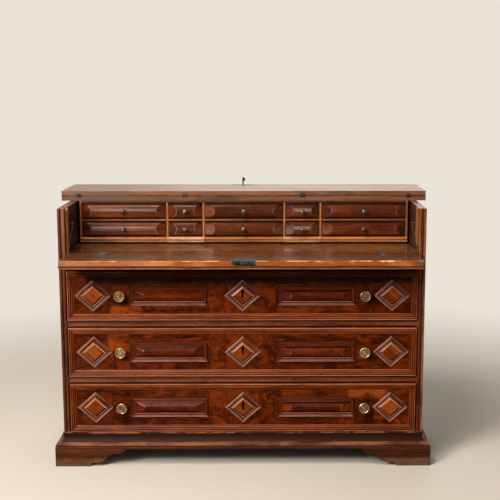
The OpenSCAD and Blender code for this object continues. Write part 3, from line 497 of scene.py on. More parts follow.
def makeRoom(settings):
    world = bpy.data.worlds.new("room")
    bpy.context.scene.world = world
    world.use_nodes = True
    w = Tree(world.node_tree, "ShaderNode")
    w.nodeTree.nodes.clear()
    path = w.node("LightPath")
    seen = path["Is Camera Ray"].math("MAXIMUM", path["Is Glossy Ray"])
    seen = seen.math("MAXIMUM", path["Is Transmission Ray"])
    way = w.node("SeparateXYZ", None, {0: w.node("TexCoord")["Generated"]})
    behind = way[1].over(-0.15, 0.25).math("MAXIMUM", path["Is Camera Ray"])
    soft = w.node("Background", None, {"Color": (1.0, 0.98, 0.95, 1.0), "Strength": settings["ambient"]})
    wall = w.node("Background", None, {"Color": settings["wall"], "Strength": 1.0})
    dark = w.node("Background", None, {"Color": settings["wall"], "Strength": settings["dim"]})
    around = w.node("MixShader", None, {0: behind, 1: dark[0], 2: wall[0]})
    mixed = w.node("MixShader", None, {0: seen, 1: soft[0], 2: around[0]})
    w.node("OutputWorld", None, {0: mixed[0]})

    half = settings["floorSize"] / 2
    mesh = bpy.data.meshes.new("floor")
    corners = [(-half, -half, 0), (half, -half, 0), (half, half, 0), (-half, half, 0)]
    mesh.from_pydata(corners, [], [(0, 1, 2, 3)])
    floor = putIn("floor", mesh)
    p = Paint("floor")
    place = p.node("TexCoord")["Object"]
    x, y, _ = p.split(place)
    far = ((x * x + y * y) ** 0.5).over(*settings["fade"])
    cloud = p.noise(place, 0.8, 3.0)
    path = p.node("LightPath")
    mirrored = path["Is Glossy Ray"] * y.over(-0.2, 0.3)
    seen = path["Is Camera Ray"].math("MAXIMUM", mirrored).math("MAXIMUM", path["Is Transmission Ray"])
    base = p.mix(cloud.over(0.2, 0.8) * 0.12, settings["floor"], settings["wall"])
    base = p.mix(seen, settings["boards"], base)
    matte = p.node("BsdfPrincipled", None, {"Base Color": base, "Roughness": 0.7 + (cloud - 0.5) * 0.1})
    glow = p.node("Emission", None, {"Color": settings["wall"], "Strength": 1.0})
    mixed = p.node("MixShader", None, {0: far * seen, 1: matte[0], 2: glow[0]})
    p.node("OutputMaterial", None, {0: mixed[0]})
    mesh.materials.append(p.material)


placeCamera(cameraSettings)
placeLamps(lampSettings)
makeRoom(roomSettings)
print("camera, lamps and floor placed")


# Boards, plinth and feet from the frame

def dress(names, material):
    for name in names:
        piece = nodes[name]
        if not piece.material_slots:
            piece.data.materials.append(material)
        for holder in piece.material_slots:
            holder.material = material


longNumbers = (1, 2, 3)
wallSettings = {"side_left": {"side": -1, "bead": 0.2, "outside": (112, 54, 28), "outsideStrength": 0.5,
                              "gap": 0.0065},
                "side_right": {"side": 1, "bead": 0.6, "outside": (160, 96, 50), "outsideStrength": 0.8,
                               "gap": 0.0045}}


def wallZones(node):  # dark inside, a worn bead, and painted shade in the groove on the front edge and in the gaps beside the long drawers
    low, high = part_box(node)
    settings = wallSettings[node]
    side = settings["side"]
    inner, outer = (high.x, low.x) if side < 0 else (low.x, high.x)
    front, sill = low.y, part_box("fall_board")[0].z
    past = front + 0.009

    def strip(first, last, depth, tint, strength, broken=None, bottom=None):
        ends = sorted((outer - side * first, outer - side * last))
        return zone(tint, strength, ends, (None, front + depth), (bottom, None), broken)
    inside = {"x": (inner - 0.0015, None) if side < 0 else (None, inner + 0.0015), "y": (past, None)}
    gap = sorted((inner, inner + side * settings["gap"]))
    beside = [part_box(f"long_{number}_mouldings") for number in longNumbers]
    # painted shade in the gap between each long drawer and the wall
    gapShade = [zone((12, 5, 3), 0.92, gap, (None, past), (ends[0].z, ends[1].z), soft=0.0008)
            for ends in beside]
    return [zone((32, 12, 4), 0.9, **inside),
            zone((92, 52, 26), 0.45, **inside, broken=(5.0, 0.54, 0.70)),
            strip(0.0, 0.009, 0.003, settings["outside"], settings["outsideStrength"], (9.0, 0.36, 0.60)),
            # painted shade in the groove
            strip(0.009, 0.014, 0.0065, (24, 9, 4), 0.8),
            strip(0.015, 0.030, 0.007, (150, 92, 58), 0.75, (8.0, 0.38, 0.56), sill),
            strip(0.015, 0.030, 0.007, (150, 76, 36), settings["bead"], (12.0, 0.42, 0.58)),
            *gapShade,
            zone((112, 76, 50), 0.7, z=(high.z - 0.001, None), broken=(16.0, 0.35, 0.6))]


def backZones():  # four planks, each of its own tint, damp marks at the foot
    low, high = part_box("back_panel")
    tints = ((120, 80, 48), (176, 138, 96), (134, 94, 58), (168, 124, 82))
    plank, halfSeam = (high.z - low.z) / len(tints), 0.0018
    spots = []
    for place, tint in enumerate(tints):
        seam = low.z + place * plank
        spots.append(zone(tint, 0.45, z=(seam, seam + plank)))
        if place:
            spots.append(zone((34, 22, 14), 0.9, z=(seam - halfSeam, seam + halfSeam)))
    return spots + [zone((70, 48, 32), 0.6, z=(None, low.z + 0.09), broken=(4.0, 0.40, 0.60), soft=0.02,
                         wander=0.15),
                    zone((84, 56, 36), 0.5, (0.25, 0.62), z=(0.45, 0.80), broken=(5.0, 0.44, 0.62),
                         soft=0.05, wander=0.3)]


def railGapShade():  # painted shade in the gaps above and below each rail
    spots, under, over = [], 0.0065, 0.0090
    for number in longNumbers:
        low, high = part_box(f"long_{number}_front")
        for ends in ((low.z - under, low.z), (high.z, high.z + over)):
            spots.append(zone((16, 7, 4), 0.95, y=(None, low.y + 0.004), z=ends))
    return spots


# narrowBay is the middle of a narrow bay, narrowHalf half of the proud stretch below it
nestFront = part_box("nest_base")[0].y
nestSettings = {"lip": nestFront + 0.014, "dividers": (-0.3325, -0.1755, 0.1755, 0.3325), "bright": 0.0030,
                "dark": 0.02, "ends": (0.700, 0.715), "narrowBay": 0.2535, "narrowHalf": 0.080}


def uprightZones(settings):  # the nest's dividers are bright only along the middle of their edge, with painted shade either side of it
    lip, bright, dark = (None, settings["lip"]), settings["bright"], settings["dark"]
    spots = []
    for centre in settings["dividers"]:
        for ends in ((centre - dark, centre - bright), (centre + bright, centre + dark)):
            # painted shade beside the bright middle of the edge
            spots.append(zone((34, 15, 7), 0.85, ends, lip))
    for side in (-1, 1):
        ends = sorted(side * end for end in settings["ends"])
        spots.append(zone((110, 74, 50), 0.6, ends, lip))
    return spots


def shelfZones(settings):
    low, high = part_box("nest_shelves")
    lip, middle, bright = (None, settings["lip"]), (low.z + high.z) / 2, 0.0028
    # painted shade on the shelves' front edges above and below a bright middle line, and on the nest top's
    # front edge
    return [zone((34, 15, 7), 0.85, y=lip, z=(middle + bright, high.z + 0.02)),
            zone((34, 15, 7), 0.85, y=lip, z=(None, middle - bright)),
            zone((28, 13, 7), 0.9, y=lip, z=(high.z + 0.03, None))]


def fallZones():  # the front edge is paler, rubbed along its arris and nicked
    low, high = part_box("fall_board")
    face = (None, low.y + 0.0016)
    return [zone((156, 82, 31), 0.92, y=face),
            zone((184, 128, 96), 0.85, (None, -0.28), face, broken=(4.0, 0.26, 0.48), soft=0.03, wander=0.2),
            zone((206, 132, 72), 0.5, y=face, broken=(11.0, 0.50, 0.66)),
            zone((84, 36, 14), 0.75, y=face, z=(low.z, low.z + 0.0035), broken=(14.0, 0.36, 0.56)),
            zone((242, 186, 128), 0.95, y=(None, low.y + 0.005), z=(high.z - 0.003, None),
                 broken=(30.0, 0.48, 0.60)),
            zone((252, 226, 196), 0.9, (0.43, 0.60), (None, low.y + 0.006), (high.z - 0.0045, None),
                 (34.0, 0.46, 0.54)),
            zone((44, 18, 8), 0.9, y=(None, low.y + 0.0026), broken=(110.0, 0.64, 0.70)),
            zone((60, 26, 9), 0.6, y=(low.y + 0.010, None), z=(high.z - 0.001, None),
                 broken=(6.0, 0.50, 0.66)),
            zone((72, 54, 45), 0.95, (0.676, None), face, soft=0.010, wander=0.02),
            zone((120, 84, 62), 0.8, (None, -0.694), face, soft=0.008, wander=0.02),
            zone((74, 27, 7), 0.7, z=(None, low.z + 0.001))]


topSettings = {"lid_flap": {"edge": (136, 86, 54), "stain": (0.24, 0.50)},
               "top_rear": {"edge": (100, 56, 30), "stain": (-0.22, -0.04)}}


def topZones(node):  # dusty above, grey and rubbed towards the left end
    low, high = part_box(node)
    settings, lip = topSettings[node], low.y + 0.011
    joint, halfJoint = low.z if node == "lid_flap" else high.z, 0.0024
    above, front = {"y": (lip, None), "z": (high.z - 0.001, None)}, (None, lip)
    return [zone((142, 120, 92), 0.45, **above),
            zone((96, 74, 52), 0.4, **above, broken=(2.2, 0.48, 0.62)),
            zone(settings["edge"], 0.45, y=front),
            zone((88, 76, 60), 0.85, (None, -0.50), front, broken=(5.0, 0.34, 0.54), soft=0.06, wander=0.25),
            zone((44, 26, 16), 0.8, settings["stain"], front, broken=(10.0, 0.42, 0.56), soft=0.04,
                 wander=0.2),
            zone((16, 8, 5), 1.0, y=front, z=(joint - halfJoint, joint + halfJoint))]


def nestHighlights(settings):  # broken painted highlight on the base below the two narrow bays
    half, front = settings["narrowHalf"], (None, nestFront + 0.012)
    middles = [side * settings["narrowBay"] for side in (-1, 1)]
    return [zone((214, 160, 112), 0.7, (middle - half, middle + half), front, broken=(10.0, 0.34, 0.58))
            for middle in middles]


floorTop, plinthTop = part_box("writing_floor")[1].z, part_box("plinth_front")[1].z
footZones = [zone((124, 94, 66), 0.6, z=(None, 0.034), broken=(7.0, 0.36, 0.58), soft=0.008, wander=0.08),
             zone((140, 106, 70), 0.5, z=(None, 0.010), broken=(20.0, 0.42, 0.60), soft=0.003, wander=0.02),
             zone((46, 20, 8), 0.6, z=(0.030, None), broken=(6.0, 0.50, 0.64))]
floorZones = [zone((132, 120, 104), 0.75, y=(nestFront - 0.022, nestFront + 0.002),
                   z=(floorTop - 0.001, None), broken=(6.0, 0.30, 0.50), soft=0.004),
              # painted shade on the floor under the nest
              zone((16, 7, 3), 0.95, y=(nestFront + 0.006, None))]
# painted shade in the hollow
plinthZones = [zone((36, 13, 3), 0.85, z=(0.100, 0.131), soft=0.004),
               # broken painted highlight along the top bead
               zone((164, 106, 72), 0.75, z=(plinthTop - 0.009, None), broken=(22.0, 0.46, 0.58)),
               # broken painted highlight along the astragal
               zone((160, 100, 66), 0.7, z=(0.087, 0.099), broken=(9.0, 0.38, 0.58)),
               zone((60, 28, 12), 0.5, z=(None, 0.086), broken=(7.0, 0.46, 0.62))]
boardFinishes = [  # the pieces, then the name, look, grain, seed and zones of their wood
    (["side_left"], "sideLeft", "case", "Z", 1.0, wallZones("side_left")),
    (["side_right"], "sideRight", "case", "Z", 2.0, wallZones("side_right")),
    (["back_panel"], "back", "plain", "X", 3.0, backZones()),
    (["bottom_board", "rear_feet"], "under", "dull", "X", 4.0, ()),
    (["writing_floor"], "writingFloor", "writing", "X", 5.0, floorZones),
    (["fall_board"], "fallBoard", "writing", "X", 6.0, fallZones()),
    (["top_rail", "drawer_rails"], "rails", "rail", "X", 7.0, railGapShade()),
    (["drawer_runners", "long_1_box", "long_2_box", "long_3_box"], "drawerWood", "plain", "Y", 8.0, ()),
    (["plinth_front"], "plinthFront", "dull", "X", 9.0, plinthZones),
    (["plinth_sides"], "plinthSides", "dull", "Y", 10.0, plinthZones),
    (["front_foot_left", "front_foot_right"], "feet", "dull", "X", 11.0, footZones),
    (["fall_stops"], "stops", "edge", "Z", 12.0, ()),
    (["top_rear"], "topRear", "top", "X", 13.0, topZones("top_rear")),
    (["lid_flap"], "topFlap", "top", "X", 14.0, topZones("lid_flap")),
    (["nest_base"], "nestBase", "edge", "X", 15.0, nestHighlights(nestSettings)),
    (["nest_ends", "nest_dividers"], "nestUprights", "edge", "Z", 16.0, uprightZones(nestSettings)),
    (["nest_top", "nest_shelves"], "nestShelves", "edge", "X", 17.0, shelfZones(nestSettings)),
]
for pieces, *finish in boardFinishes:
    dress(pieces, woodFinish(*finish))


# cuts between the veneers of each long front, counted from its middle, and its dark and orange patches, one
# of them a painted shadow
veneerSettings = {
    1: {"across": [-0.548, -0.470, -0.138, 0.020, 0.138, 0.478, 0.540], "up": [0.048, -0.045],
        "upright": [(-0.138, 0.138), (0.478, 0.540)],
        "spots": [((18, 6, 2), 0.85, (-0.46, -0.16), (-0.075, -0.047), (26.0, 0.52, 0.60)),
                  ((168, 74, 16), 0.7, (-0.545, -0.42), (-0.080, -0.045), (16.0, 0.44, 0.58)),
                  ((130, 56, 10), 0.5, (-0.13, 0.13), (-0.080, 0.080), (12.0, 0.50, 0.62)),
                  # painted shadow of the open fall across the top of drawer 1's field
                  ((12, 5, 3), 0.75, (-0.64, 0.74), (0.054, 0.110), None)]},
    2: {"across": [-0.560, -0.535, -0.468, -0.135, -0.070, 0.130, 0.472], "up": [0.046, -0.047],
        "upright": [(-0.135, 0.130)],
        "spots": [((158, 66, 12), 0.75, (-0.56, -0.47), (0.0, 0.080), (10.0, 0.40, 0.58)),
                  ((24, 9, 3), 0.7, (-0.40, -0.25), (-0.080, -0.050), (20.0, 0.48, 0.60)),
                  ((22, 8, 2), 0.6, (0.06, 0.24), (-0.080, 0.080), (16.0, 0.52, 0.62))]},
    3: {"across": [-0.545, -0.463, -0.130, -0.065, 0.066, 0.132, 0.470, 0.545], "up": [0.045, -0.046],
        "upright": [(-0.130, 0.132), (0.470, 0.545)],
        "spots": [((146, 58, 10), 0.5, (-0.15, 0.02), (0.0, 0.080), (9.0, 0.46, 0.60)),
                  ((168, 76, 16), 0.8, (0.44, 0.60), (0.040, 0.080), (8.0, 0.40, 0.56)),
                  ((136, 54, 8), 0.6, (0.16, 0.30), (0.040, 0.080), (9.0, 0.42, 0.60))]},
}
for number, settings in veneerSettings.items():
    low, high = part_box(f"long_{number}_front")
    middle = (low.z + high.z) / 2
    sheets = {**settings, "up": [middle + cut for cut in settings["up"]], "column": (0.138, 0.470)}
    spots = [zone(tint, strength, x, z=(middle + z[0], middle + z[1]), broken=broken, soft=0.01, wander=0.05)
             for tint, strength, x, z, broken in settings["spots"]]
    dress([f"long_{number}_front"], woodFinish(f"veneer{number}", "burl", "X", 20.0 + number, spots, sheets))
iron, brass, bronze = (metalFinish(name) for name in ("iron", "brass", "bronze"))
dress(["lid_hinges_fixed", "lid_hinge_pins", "lid_hinges_moving", "lid_hasp", "fall_hinges_fixed",
       "fall_hinge_pins", "fall_hinges_moving", "fall_lock", "stay_eyes", "stay_studs", "stay_left",
       "stay_right", "long_1_lock", "long_2_lock", "long_3_lock"], iron)
dress(["long_1_knobs", "long_2_knobs", "long_3_knobs"], brass)
print("frame dressed")


# Long drawers: mitred frames, diamonds, panels and knobs

def wobble(point, amount, scale=9.0):  # hand-planed edges are never quite straight
    return noise.noise(Vector(point) * scale) * amount


def rectangleAt(cx, cz, halfA, halfB):  # corners of a rectangle, a distance in from its edge
    def corners(inset):
        a, b = halfA - inset, halfB - inset
        return [(cx - a, cz - b), (cx + a, cz - b), (cx + a, cz + b), (cx - a, cz + b)]
    return corners


def diamondAt(cx, cz, halfA, halfB):
    reach = halfA * halfB / math.hypot(halfA, halfB)

    def corners(inset):
        share = 1 - inset / reach
        a, b = halfA * share, halfB * share
        return [(cx, cz - b), (cx + a, cz), (cx, cz + b), (cx - a, cz)]
    return corners


def sideAt(corners, inset, side, share):  # the point a share of the way along one side of a rim
    rim = corners(inset)
    (x, z), (endX, endZ) = rim[side], rim[(side + 1) % 4]
    return x + (endX - x) * share, z + (endZ - z) * share


# profiles run over the front from the outer edge inwards: distance in, height, wear and painted highlight,
# grime and painted shade
frameProfile = [(0, 0, 0, .6), (0, 9.5, .2, .2), (0.5, 11.6, .7, 0), (1.6, 12.8, .9, 0), (3.0, 13, 1, 0),
                (4.2, 12.4, .5, 0), (5.0, 11.0, .1, .5), (5.5, 9.2, 0, 1), (7.0, 8.8, 0, 1),
                (7.8, 9.6, .1, .5), (8.8, 10.6, .5, 0), (10.2, 10.9, .6, 0), (11.6, 10.4, .2, .1),
                (13.0, 9.2, 0, .5), (14.0, 7.4, 0, 1), (15.4, 6.6, 0, 1), (16.2, 7.2, .2, .4),
                (17.2, 7.6, .6, 0), (18.8, 7.0, .2, .1), (20.6, 5.6, 0, .5), (22.4, 3.6, 0, .7),
                (23.2, 3.0, 0, .7), (24.4, 3.0, .8, 0), (25.6, 2.2, .7, .1), (26, 0, 0, .7)]
reliefProfile = [(0, 0, 0, .8), (0, 2.6, .2, .5), (0.5, 4.0, .8, 0), (1.4, 4.8, 1, 0), (2.4, 4.5, .5, 0),
                 (3.2, 3.4, 0, 1), (4.0, 3.2, 0, 1), (4.8, 4.6, .3, .3), (6.0, 5.6, .9, 0), (7.0, 5.5, .5, 0),
                 (8.6, 4.4, 0, .4), (11, 3.9, 0, .2), (14.4, 3.8, 0, .5), (15.0, 4.6, .3, .4),
                 (16.2, 5.6, .95, 0), (17.2, 5.2, .5, 0), (18.0, 3.4, 0, 1), (18.4, 0.6, 0, 1),
                 (18.4, 0, 0, 1)]


def mouldingRing(shape, corners, profile, face, tones, wander, step=0.016, rubs=(1, 1, 1, 1)):
    # sides run from the lower one, or the lower right one, to the left; rubs scales each side's wear and
    # paints light by side: paler as painted highlight, duller as painted shade
    for side in range(4):
        rows = []
        first, last = (sideAt(corners, 0, side, share) for share in (0, 1))
        length = math.dist(first, last)
        steps = max(2, round(length / step))
        unit = ((last[0] - first[0]) / length, (last[1] - first[1]) / length)
        for part in range(steps + 1):
            row = []
            for inset, height, wear, grime in profile:
                inset, height = inset / 1000, height / 1000
                x, z = sideAt(corners, inset, side, part / steps)
                if height > 0:
                    height = height + wobble((x, 0, z), wander) * min(1, height / 0.004)
                along = (x - first[0]) * unit[0] + (z - first[1]) * unit[1]
                row.append(((x, face - height, z), (along, inset), wear * rubs[side], grime))
            rows.append(row + row[:1])
        shape.grid(rows, tones[side])


def aslant(x, z):  # fibres that run down to the right
    diagonal = 0.7071
    return (x - z) * diagonal, (x + z) * diagonal


# the first setting is how far in from its edge a lower side is darkened, the second how dark its left and
# right one, as painted shade; the third raises the wear of the upper sides as painted highlight
flatSettings = {"soiled": 24.5, "dirt": (0.45, 0.85), "clean": 1.15, "parts": 4,
                "profile": [(18.9, 0.0, 0, 1), (18.9, 5.6, 0, 1), (19.5, 7.6, .9, 0), (20.6, 8.6, 1, 0),
                            (24.0, 10.2, .2, 0), (24.8, 10.6, .5, 0)]}


def flatBlock(shape, corners, face, tone, settings, hole=None):
    # a block with a vertical edge and a bevelled rim round a flat top, which a keyhole may pierce
    profile, parts = settings["profile"], settings["parts"]
    middleX, middleZ = (sum(corner[axis] for corner in corners(0)) / 4 for axis in (0, 1))
    for side in range(4):
        rows = []
        (x, z), (endX, endZ) = (sideAt(corners, 0, side, share) for share in (0, 1))
        # lower sides darkened as painted shade, the lower right one most; upper rims paler as painted
        # highlight
        dirt = 0.0
        if z + endZ < 2 * middleZ:
            dirt = settings["dirt"][x + endX > 2 * middleX]
        for part in range(parts + 1):
            row = []
            for inset, height, wear, grime in profile:
                if inset < settings["soiled"]:
                    wear, grime = wear * (settings["clean"] - dirt), max(grime, dirt)
                x, z = sideAt(corners, inset / 1000, side, part / parts)
                row.append(((x, face - height / 1000, z), aslant(x, z), wear, grime))
            rows.append(row)
        shape.grid(rows, tone)
    topInset, topHeight = (measure / 1000 for measure in profile[-1][:2])
    rim = [sideAt(corners, topInset, side, part / parts) for side in range(4) for part in range(parts)]
    shape.plate(rim, face - topHeight, tone, hole, aslant)
    shape.plate(corners(profile[0][0] / 1000), face, tone, hole)
    if hole:
        # the keyhole's walls are dark: painted shade inside the hole
        walls = [[((x, face - height, z), (x, z), 0, 1) for height in (topHeight, 0)]
                 for x, z in hole + hole[:1]]
        shape.grid(walls, tone)


# across and along count its quads, near is the width of a crease, edge the share that a hip takes up
cushionSettings = {"across": 20, "along": 12, "near": 0.0020, "edge": 0.62, "swell": (2.4, 0.75)}


def cushionBlock(shape, cx, cz, halfW, halfH, slope, base, rise, face, tones, hipped=False, back=None):
    # a block that swells between its long edges and slopes to its ends; hipped, it has a flat field
    # tones are those of its left end, its field and its right end
    rows = []
    count, steps = cushionSettings["across"], cushionSettings["along"]
    bulge, shoulder = cushionSettings["swell"]
    for part in range(count + 1):
        across = -1 + 2 * part / count
        lift = (1 - abs(across) ** bulge) ** shoulder
        if hipped:
            lift = min(1, (1 - abs(across)) / cushionSettings["edge"])
        crease = slope * lift
        near = min(cushionSettings["near"], crease * 0.2)
        places = [0, 0.25, 0.5, 0.75, 1 - near / slope / max(lift, 0.01), 1]
        xs = [-halfW + crease * s for s in places]
        inner = halfW - crease
        xs += [-inner + near] + [-inner + 2 * inner * s / steps for s in range(1, steps)] + [inner - near]
        xs += [halfW - crease * s for s in reversed(places)]
        row = []
        for index, x in enumerate(xs):
            ramp = min(1.0, (halfW - abs(x)) / slope)
            height = base + rise * min(lift, ramp)
            z = cz + across * halfH
            onCrease = 1.0 if index in (5, len(xs) - 6) else 0.0
            onEdge = 1.0 if part in (0, count) or index in (0, len(xs) - 1) else 0.0
            # creases and edges paler: wear, and painted highlight
            wear = (0.5 if hipped else 0.95) * onCrease * lift + 0.5 * onEdge + 0.1 * lift
            # steep darkens and dulls: a cushion's top and bottom edges with grime and painted shade, a hipped
            # field's upper slope with painted shade
            steep = 0.35 * (across > 0.4 and lift < 0.99) if hipped else max(0.0, abs(across) - 0.5) * 2.0
            # a bright stroke along the upper left hip: painted highlight
            if hipped and index in (4, 5, 6) and across > 0.3:
                wear, steep = (1.9 if index == 5 else 0.55) * min(1, lift * 4), 0.0
            row.append(((cx + x, face - height, z), (x + cx, z), wear, max(0.25 * onEdge, steep)))
        rows.append(row)
    last = len(rows[0]) - 6
    for tone, first, end in zip(tones, (0, 5, last), (6, last + 1, last + 6)):
        shape.grid([row[first:end] for row in rows], tone)
    back = face if back is None else back
    rim = [row[0] for row in rows] + rows[-1][1:]
    rim += [row[-1] for row in reversed(rows[:-1])] + rows[0][-2:0:-1]
    # the block's side walls are dark: painted shade in the groove round it
    wall = [[point, ((point[0][0], back, point[0][2]), point[1], 0, 0.8)] for point in rim + rim[:1]]
    shape.grid(wall, tones[1])
    shape.plate([(point[0][0], point[0][2]) for point in rim], back, tones[1])


keyholeSettings = {"up": 0.0175, "round": 0.0066, "slot": 0.0084, "low": -0.0085}


def keyholeOutline(cx, cz, settings):
    r, half = settings["round"], settings["slot"] / 2
    start = math.asin(half / r)
    turn = 2 * math.pi - 2 * start
    points = []
    for part in range(17):
        angle = -math.pi / 2 + start + turn * part / 16
        points.append((cx + r * math.cos(angle), cz + settings["up"] + r * math.sin(angle)))
    return points + [(cx - half, cz + settings["low"]), (cx + half, cz + settings["low"])]


frontLow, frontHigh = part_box("long_1_front")
pullLow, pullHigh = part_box("long_1_knobs")
longSettings = {"face": frontLow.y, "frameA": frontHigh.x, "frameB": (frontHigh.z - frontLow.z) / 2,
                "diamondX": 0.615, "diamondA": 0.074, "diamondB": 0.066, "panelX": 0.305, "panelA": 0.1595,
                "panelB": 0.041, "blockInset": 0.0189, "fieldBase": 0.004, "frameWander": 0.0005,
                "frameStep": 0.03, "reliefWander": 0.0004, "endSlope": 0.036, "hipRise": 0.0128,
                "cushionRise": 0.0128,
                "knobX": pullHigh.x - (pullHigh.z - pullLow.z) / 2,
                "blockTones": {1: [0.85, 0.35, 0.35], 2: [0.40, 0.40, 0.50], 3: [0.10, 0.00, 0.50]},
                # wear per side, and painted light: lit sides paler as painted highlight, drawer 1's top
                # duller as painted shade under the fall
                "frameRubs": {1: (1.3, 0.9, 0.25, 1.0), 2: (1.2, 0.8, 1.2, 0.8), 3: (0.9, 0.8, 1.0, 0.8)},
                "diamondRubs": (1.6, 0.85, 1.2, 1.2), "panelRubs": (1.35, 0.55, 0.65, 0.55),
                # frame tones per side, bottom, right, top, left: drawer 1's dark top is painted shadow of the
                # fall, drawer 2's pale top and drawer 1's pale bottom partly painted light
                "frameTones": {1: [1.3, 0.6, 0.0, 0.5], 2: [0.75, 0.6, 1.4, 0.45], 3: [0.4, 0.5, 0.8, 0.5]},
                "panelTones": [1.1, 0.5, 0.5, 0.5],
                "fieldTones": {1: [(0.6, 0.65, 0.85), (0.85, 0.5, 0.65)],
                               2: [(0.5, 0.45, 0.45), (1.1, 0.6, 1.05)],
                               3: [(0.4, 0.25, 0.8), (1.2, 0.4, 1.2)]}}
longSettings["heights"] = {number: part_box(f"long_{number}_front")[0].z + longSettings["frameB"]
                           for number in longNumbers}


def longDrawer(number, settings, finishes):
    body = f"long_drawer_{number}"
    node = f"long_{number}_mouldings"
    face, cz = settings["face"], settings["heights"][number]
    draw = random.Random(number)

    def tones():
        return [draw.uniform(0.25, 0.8) for _ in range(4)]
    frameShape = Shape()
    mouldingRing(frameShape, rectangleAt(0, cz, settings["frameA"], settings["frameB"]), frameProfile, face,
                 settings["frameTones"][number], settings["frameWander"], settings["frameStep"],
                 settings["frameRubs"][number])
    frameShape.build(f"long_{number}_frame", finishes["frame"], body, "walnut_worn", [node])
    diamonds, blocks = Shape(), Shape()
    for cx, tone in zip((-settings["diamondX"], 0, settings["diamondX"]), settings["blockTones"][number]):
        corners = diamondAt(cx, cz, settings["diamondA"], settings["diamondB"])
        mouldingRing(diamonds, corners, reliefProfile, face, tones(), settings["reliefWander"],
                     rubs=settings["diamondRubs"])
        hole = keyholeOutline(cx, cz, keyholeSettings) if cx == 0 else None
        flatBlock(blocks, corners, face, tone, flatSettings, hole)
    diamonds.build(f"long_{number}_diamonds", finishes["diamondMoulding"], body, "walnut_worn", [node])
    blocks.build(f"long_{number}_blocks", finishes["block"], body, "walnut_burl", [node], 15)
    panels, fields = Shape(), Shape()
    for cx in (-settings["panelX"], settings["panelX"]):
        corners = rectangleAt(cx, cz, settings["panelA"], settings["panelB"])
        mouldingRing(panels, corners, reliefProfile, face, settings["panelTones"],
                     settings["reliefWander"], rubs=settings["panelRubs"])
        halfA, halfB = (settings[half] - settings["blockInset"] for half in ("panelA", "panelB"))
        rise = settings["hipRise"] if cx < 0 else settings["cushionRise"]
        cushionBlock(fields, cx, cz, halfA, halfB, settings["endSlope"], settings["fieldBase"], rise, face,
                     settings["fieldTones"][number][cx > 0], hipped=cx < 0)
    panels.build(f"long_{number}_panels", finishes["panelMoulding"], body, "walnut_worn", [node])
    fields.build(f"long_{number}_fields", finishes["field"], body, "walnut_burl", [node])


# outside stands in place of the first two rows of frameProfile
fallSettings = {"scale": 11 / 13, "outside": [(0, 0, 0, 1), (0, 4.2, 0, 1), (0, 5.4, .5, 0), (0, 9.0, .6, 0)],
                "tones": [0.35, 0.5, 0.8, 0.5], "wander": 0.0003, "step": 0.03, "rubs": (1, 1, 1.25, 1)}


def fallFrame(settings, finish):  # the drawers' moulding round the outer face of the fall, which lies below
    low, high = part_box("fall_mouldings")
    ring = Shape()
    profile = [(inset, height * settings["scale"], wear, grime)
               for inset, height, wear, grime in settings["outside"] + frameProfile[2:]]
    corners = rectangleAt(0, 0, high.x, (high.y - low.y) / 2)
    mouldingRing(ring, corners, profile, 0.0, settings["tones"], settings["wander"], settings["step"],
                 settings["rubs"])
    middle = (low.y + high.y) / 2
    ring.points = [(x, middle - z, high.z + y) for x, y, z in ring.points]
    ring.build("fall_frame", finish, "fall_front", "walnut_worn", ["fall_mouldings"])


drawerFinishes = {"frame": woodFinish("frameMoulding", "moulding", "strip", 30.0),
                  "diamondMoulding": woodFinish("diamondMoulding", "relief", "strip", 31.0),
                  "panelMoulding": woodFinish("panelMoulding", "relief", "strip", 32.0),
                  "block": woodFinish("diamondBlock", "diamond", "strip", 33.0),
                  "field": woodFinish("panelField", "field", "strip", 34.0)}
for number in longNumbers:
    longDrawer(number, longSettings, drawerFinishes)
fallFrame(fallSettings, drawerFinishes["frame"])
print("long drawers made")


# What repeats: turned knobs and nails

class Growth(Tree):  # a geometry tree with named sizes, whose result is kept as a mesh
    def __init__(self, name, sizes):
        nodeTree = bpy.data.node_groups.new(name, "GeometryNodeTree")
        super().__init__(nodeTree, "GeometryNode")
        face = nodeTree.interface
        face.new_socket("Geometry", in_out="OUTPUT", socket_type="NodeSocketGeometry")
        self.codes = {}
        for label, kind in {"Geometry": "Geometry", **sizes, "Seed": "Int", "Material": "Material"}.items():
            made = face.new_socket(label, in_out="INPUT", socket_type="NodeSocket" + kind)
            self.codes[label] = made.identifier
        self.given = self.node("GroupInput", prefix="Node")

    def chance(self, low, high):
        return self.node("RandomValue", {"data_type": "FLOAT"}, prefix="FunctionNode",
                         inputs={2: low, 3: high, "Seed": self.given["Seed"]})[1]

    def finish(self, instance, turn, size):  # one of it at each point
        put = self.node("InstanceOnPoints", None, {"Points": self.given["Geometry"], "Instance": instance,
                                                   "Rotation": turn, "Scale": size})
        plain = self.node("RealizeInstances", None, {"Geometry": put[0]})
        smooth = self.node("SetShadeSmooth", None, {"Geometry": plain[0]})
        coated = self.node("SetMaterial", None, {"Geometry": smooth[0], "Material": self.given["Material"]})
        self.node("GroupOutput", None, {0: coated[0]}, prefix="Node")
        return self

    def run(self, spots, values):
        source = bpy.data.meshes.new("spots")
        source.from_pydata(spots, [], [])
        holder = putIn("spots", source)
        modifier = holder.modifiers.new("growth", "NODES")
        modifier.node_group = self.nodeTree
        for label, value in values.items():
            modifier[self.codes[label]] = value
        graph = bpy.context.evaluated_depsgraph_get()
        mesh = bpy.data.meshes.new_from_object(holder.evaluated_get(graph))
        holder.modifiers.remove(modifier)
        bpy.data.objects.remove(holder)
        return mesh


def knobGrowth():  # turned knobs, each turned by chance
    g = Growth("knobs", {"Knob": "Object", "Size": "Float"})
    knob = g.node("ObjectInfo", None, {"Object": g.given["Knob"]})
    fullTurn = 6.2832
    angle = g.node("CombineXYZ", None, {1: g.chance(0.0, fullTurn)}, prefix="ShaderNode")
    return g.finish(knob["Geometry"], angle[0], g.given["Size"])


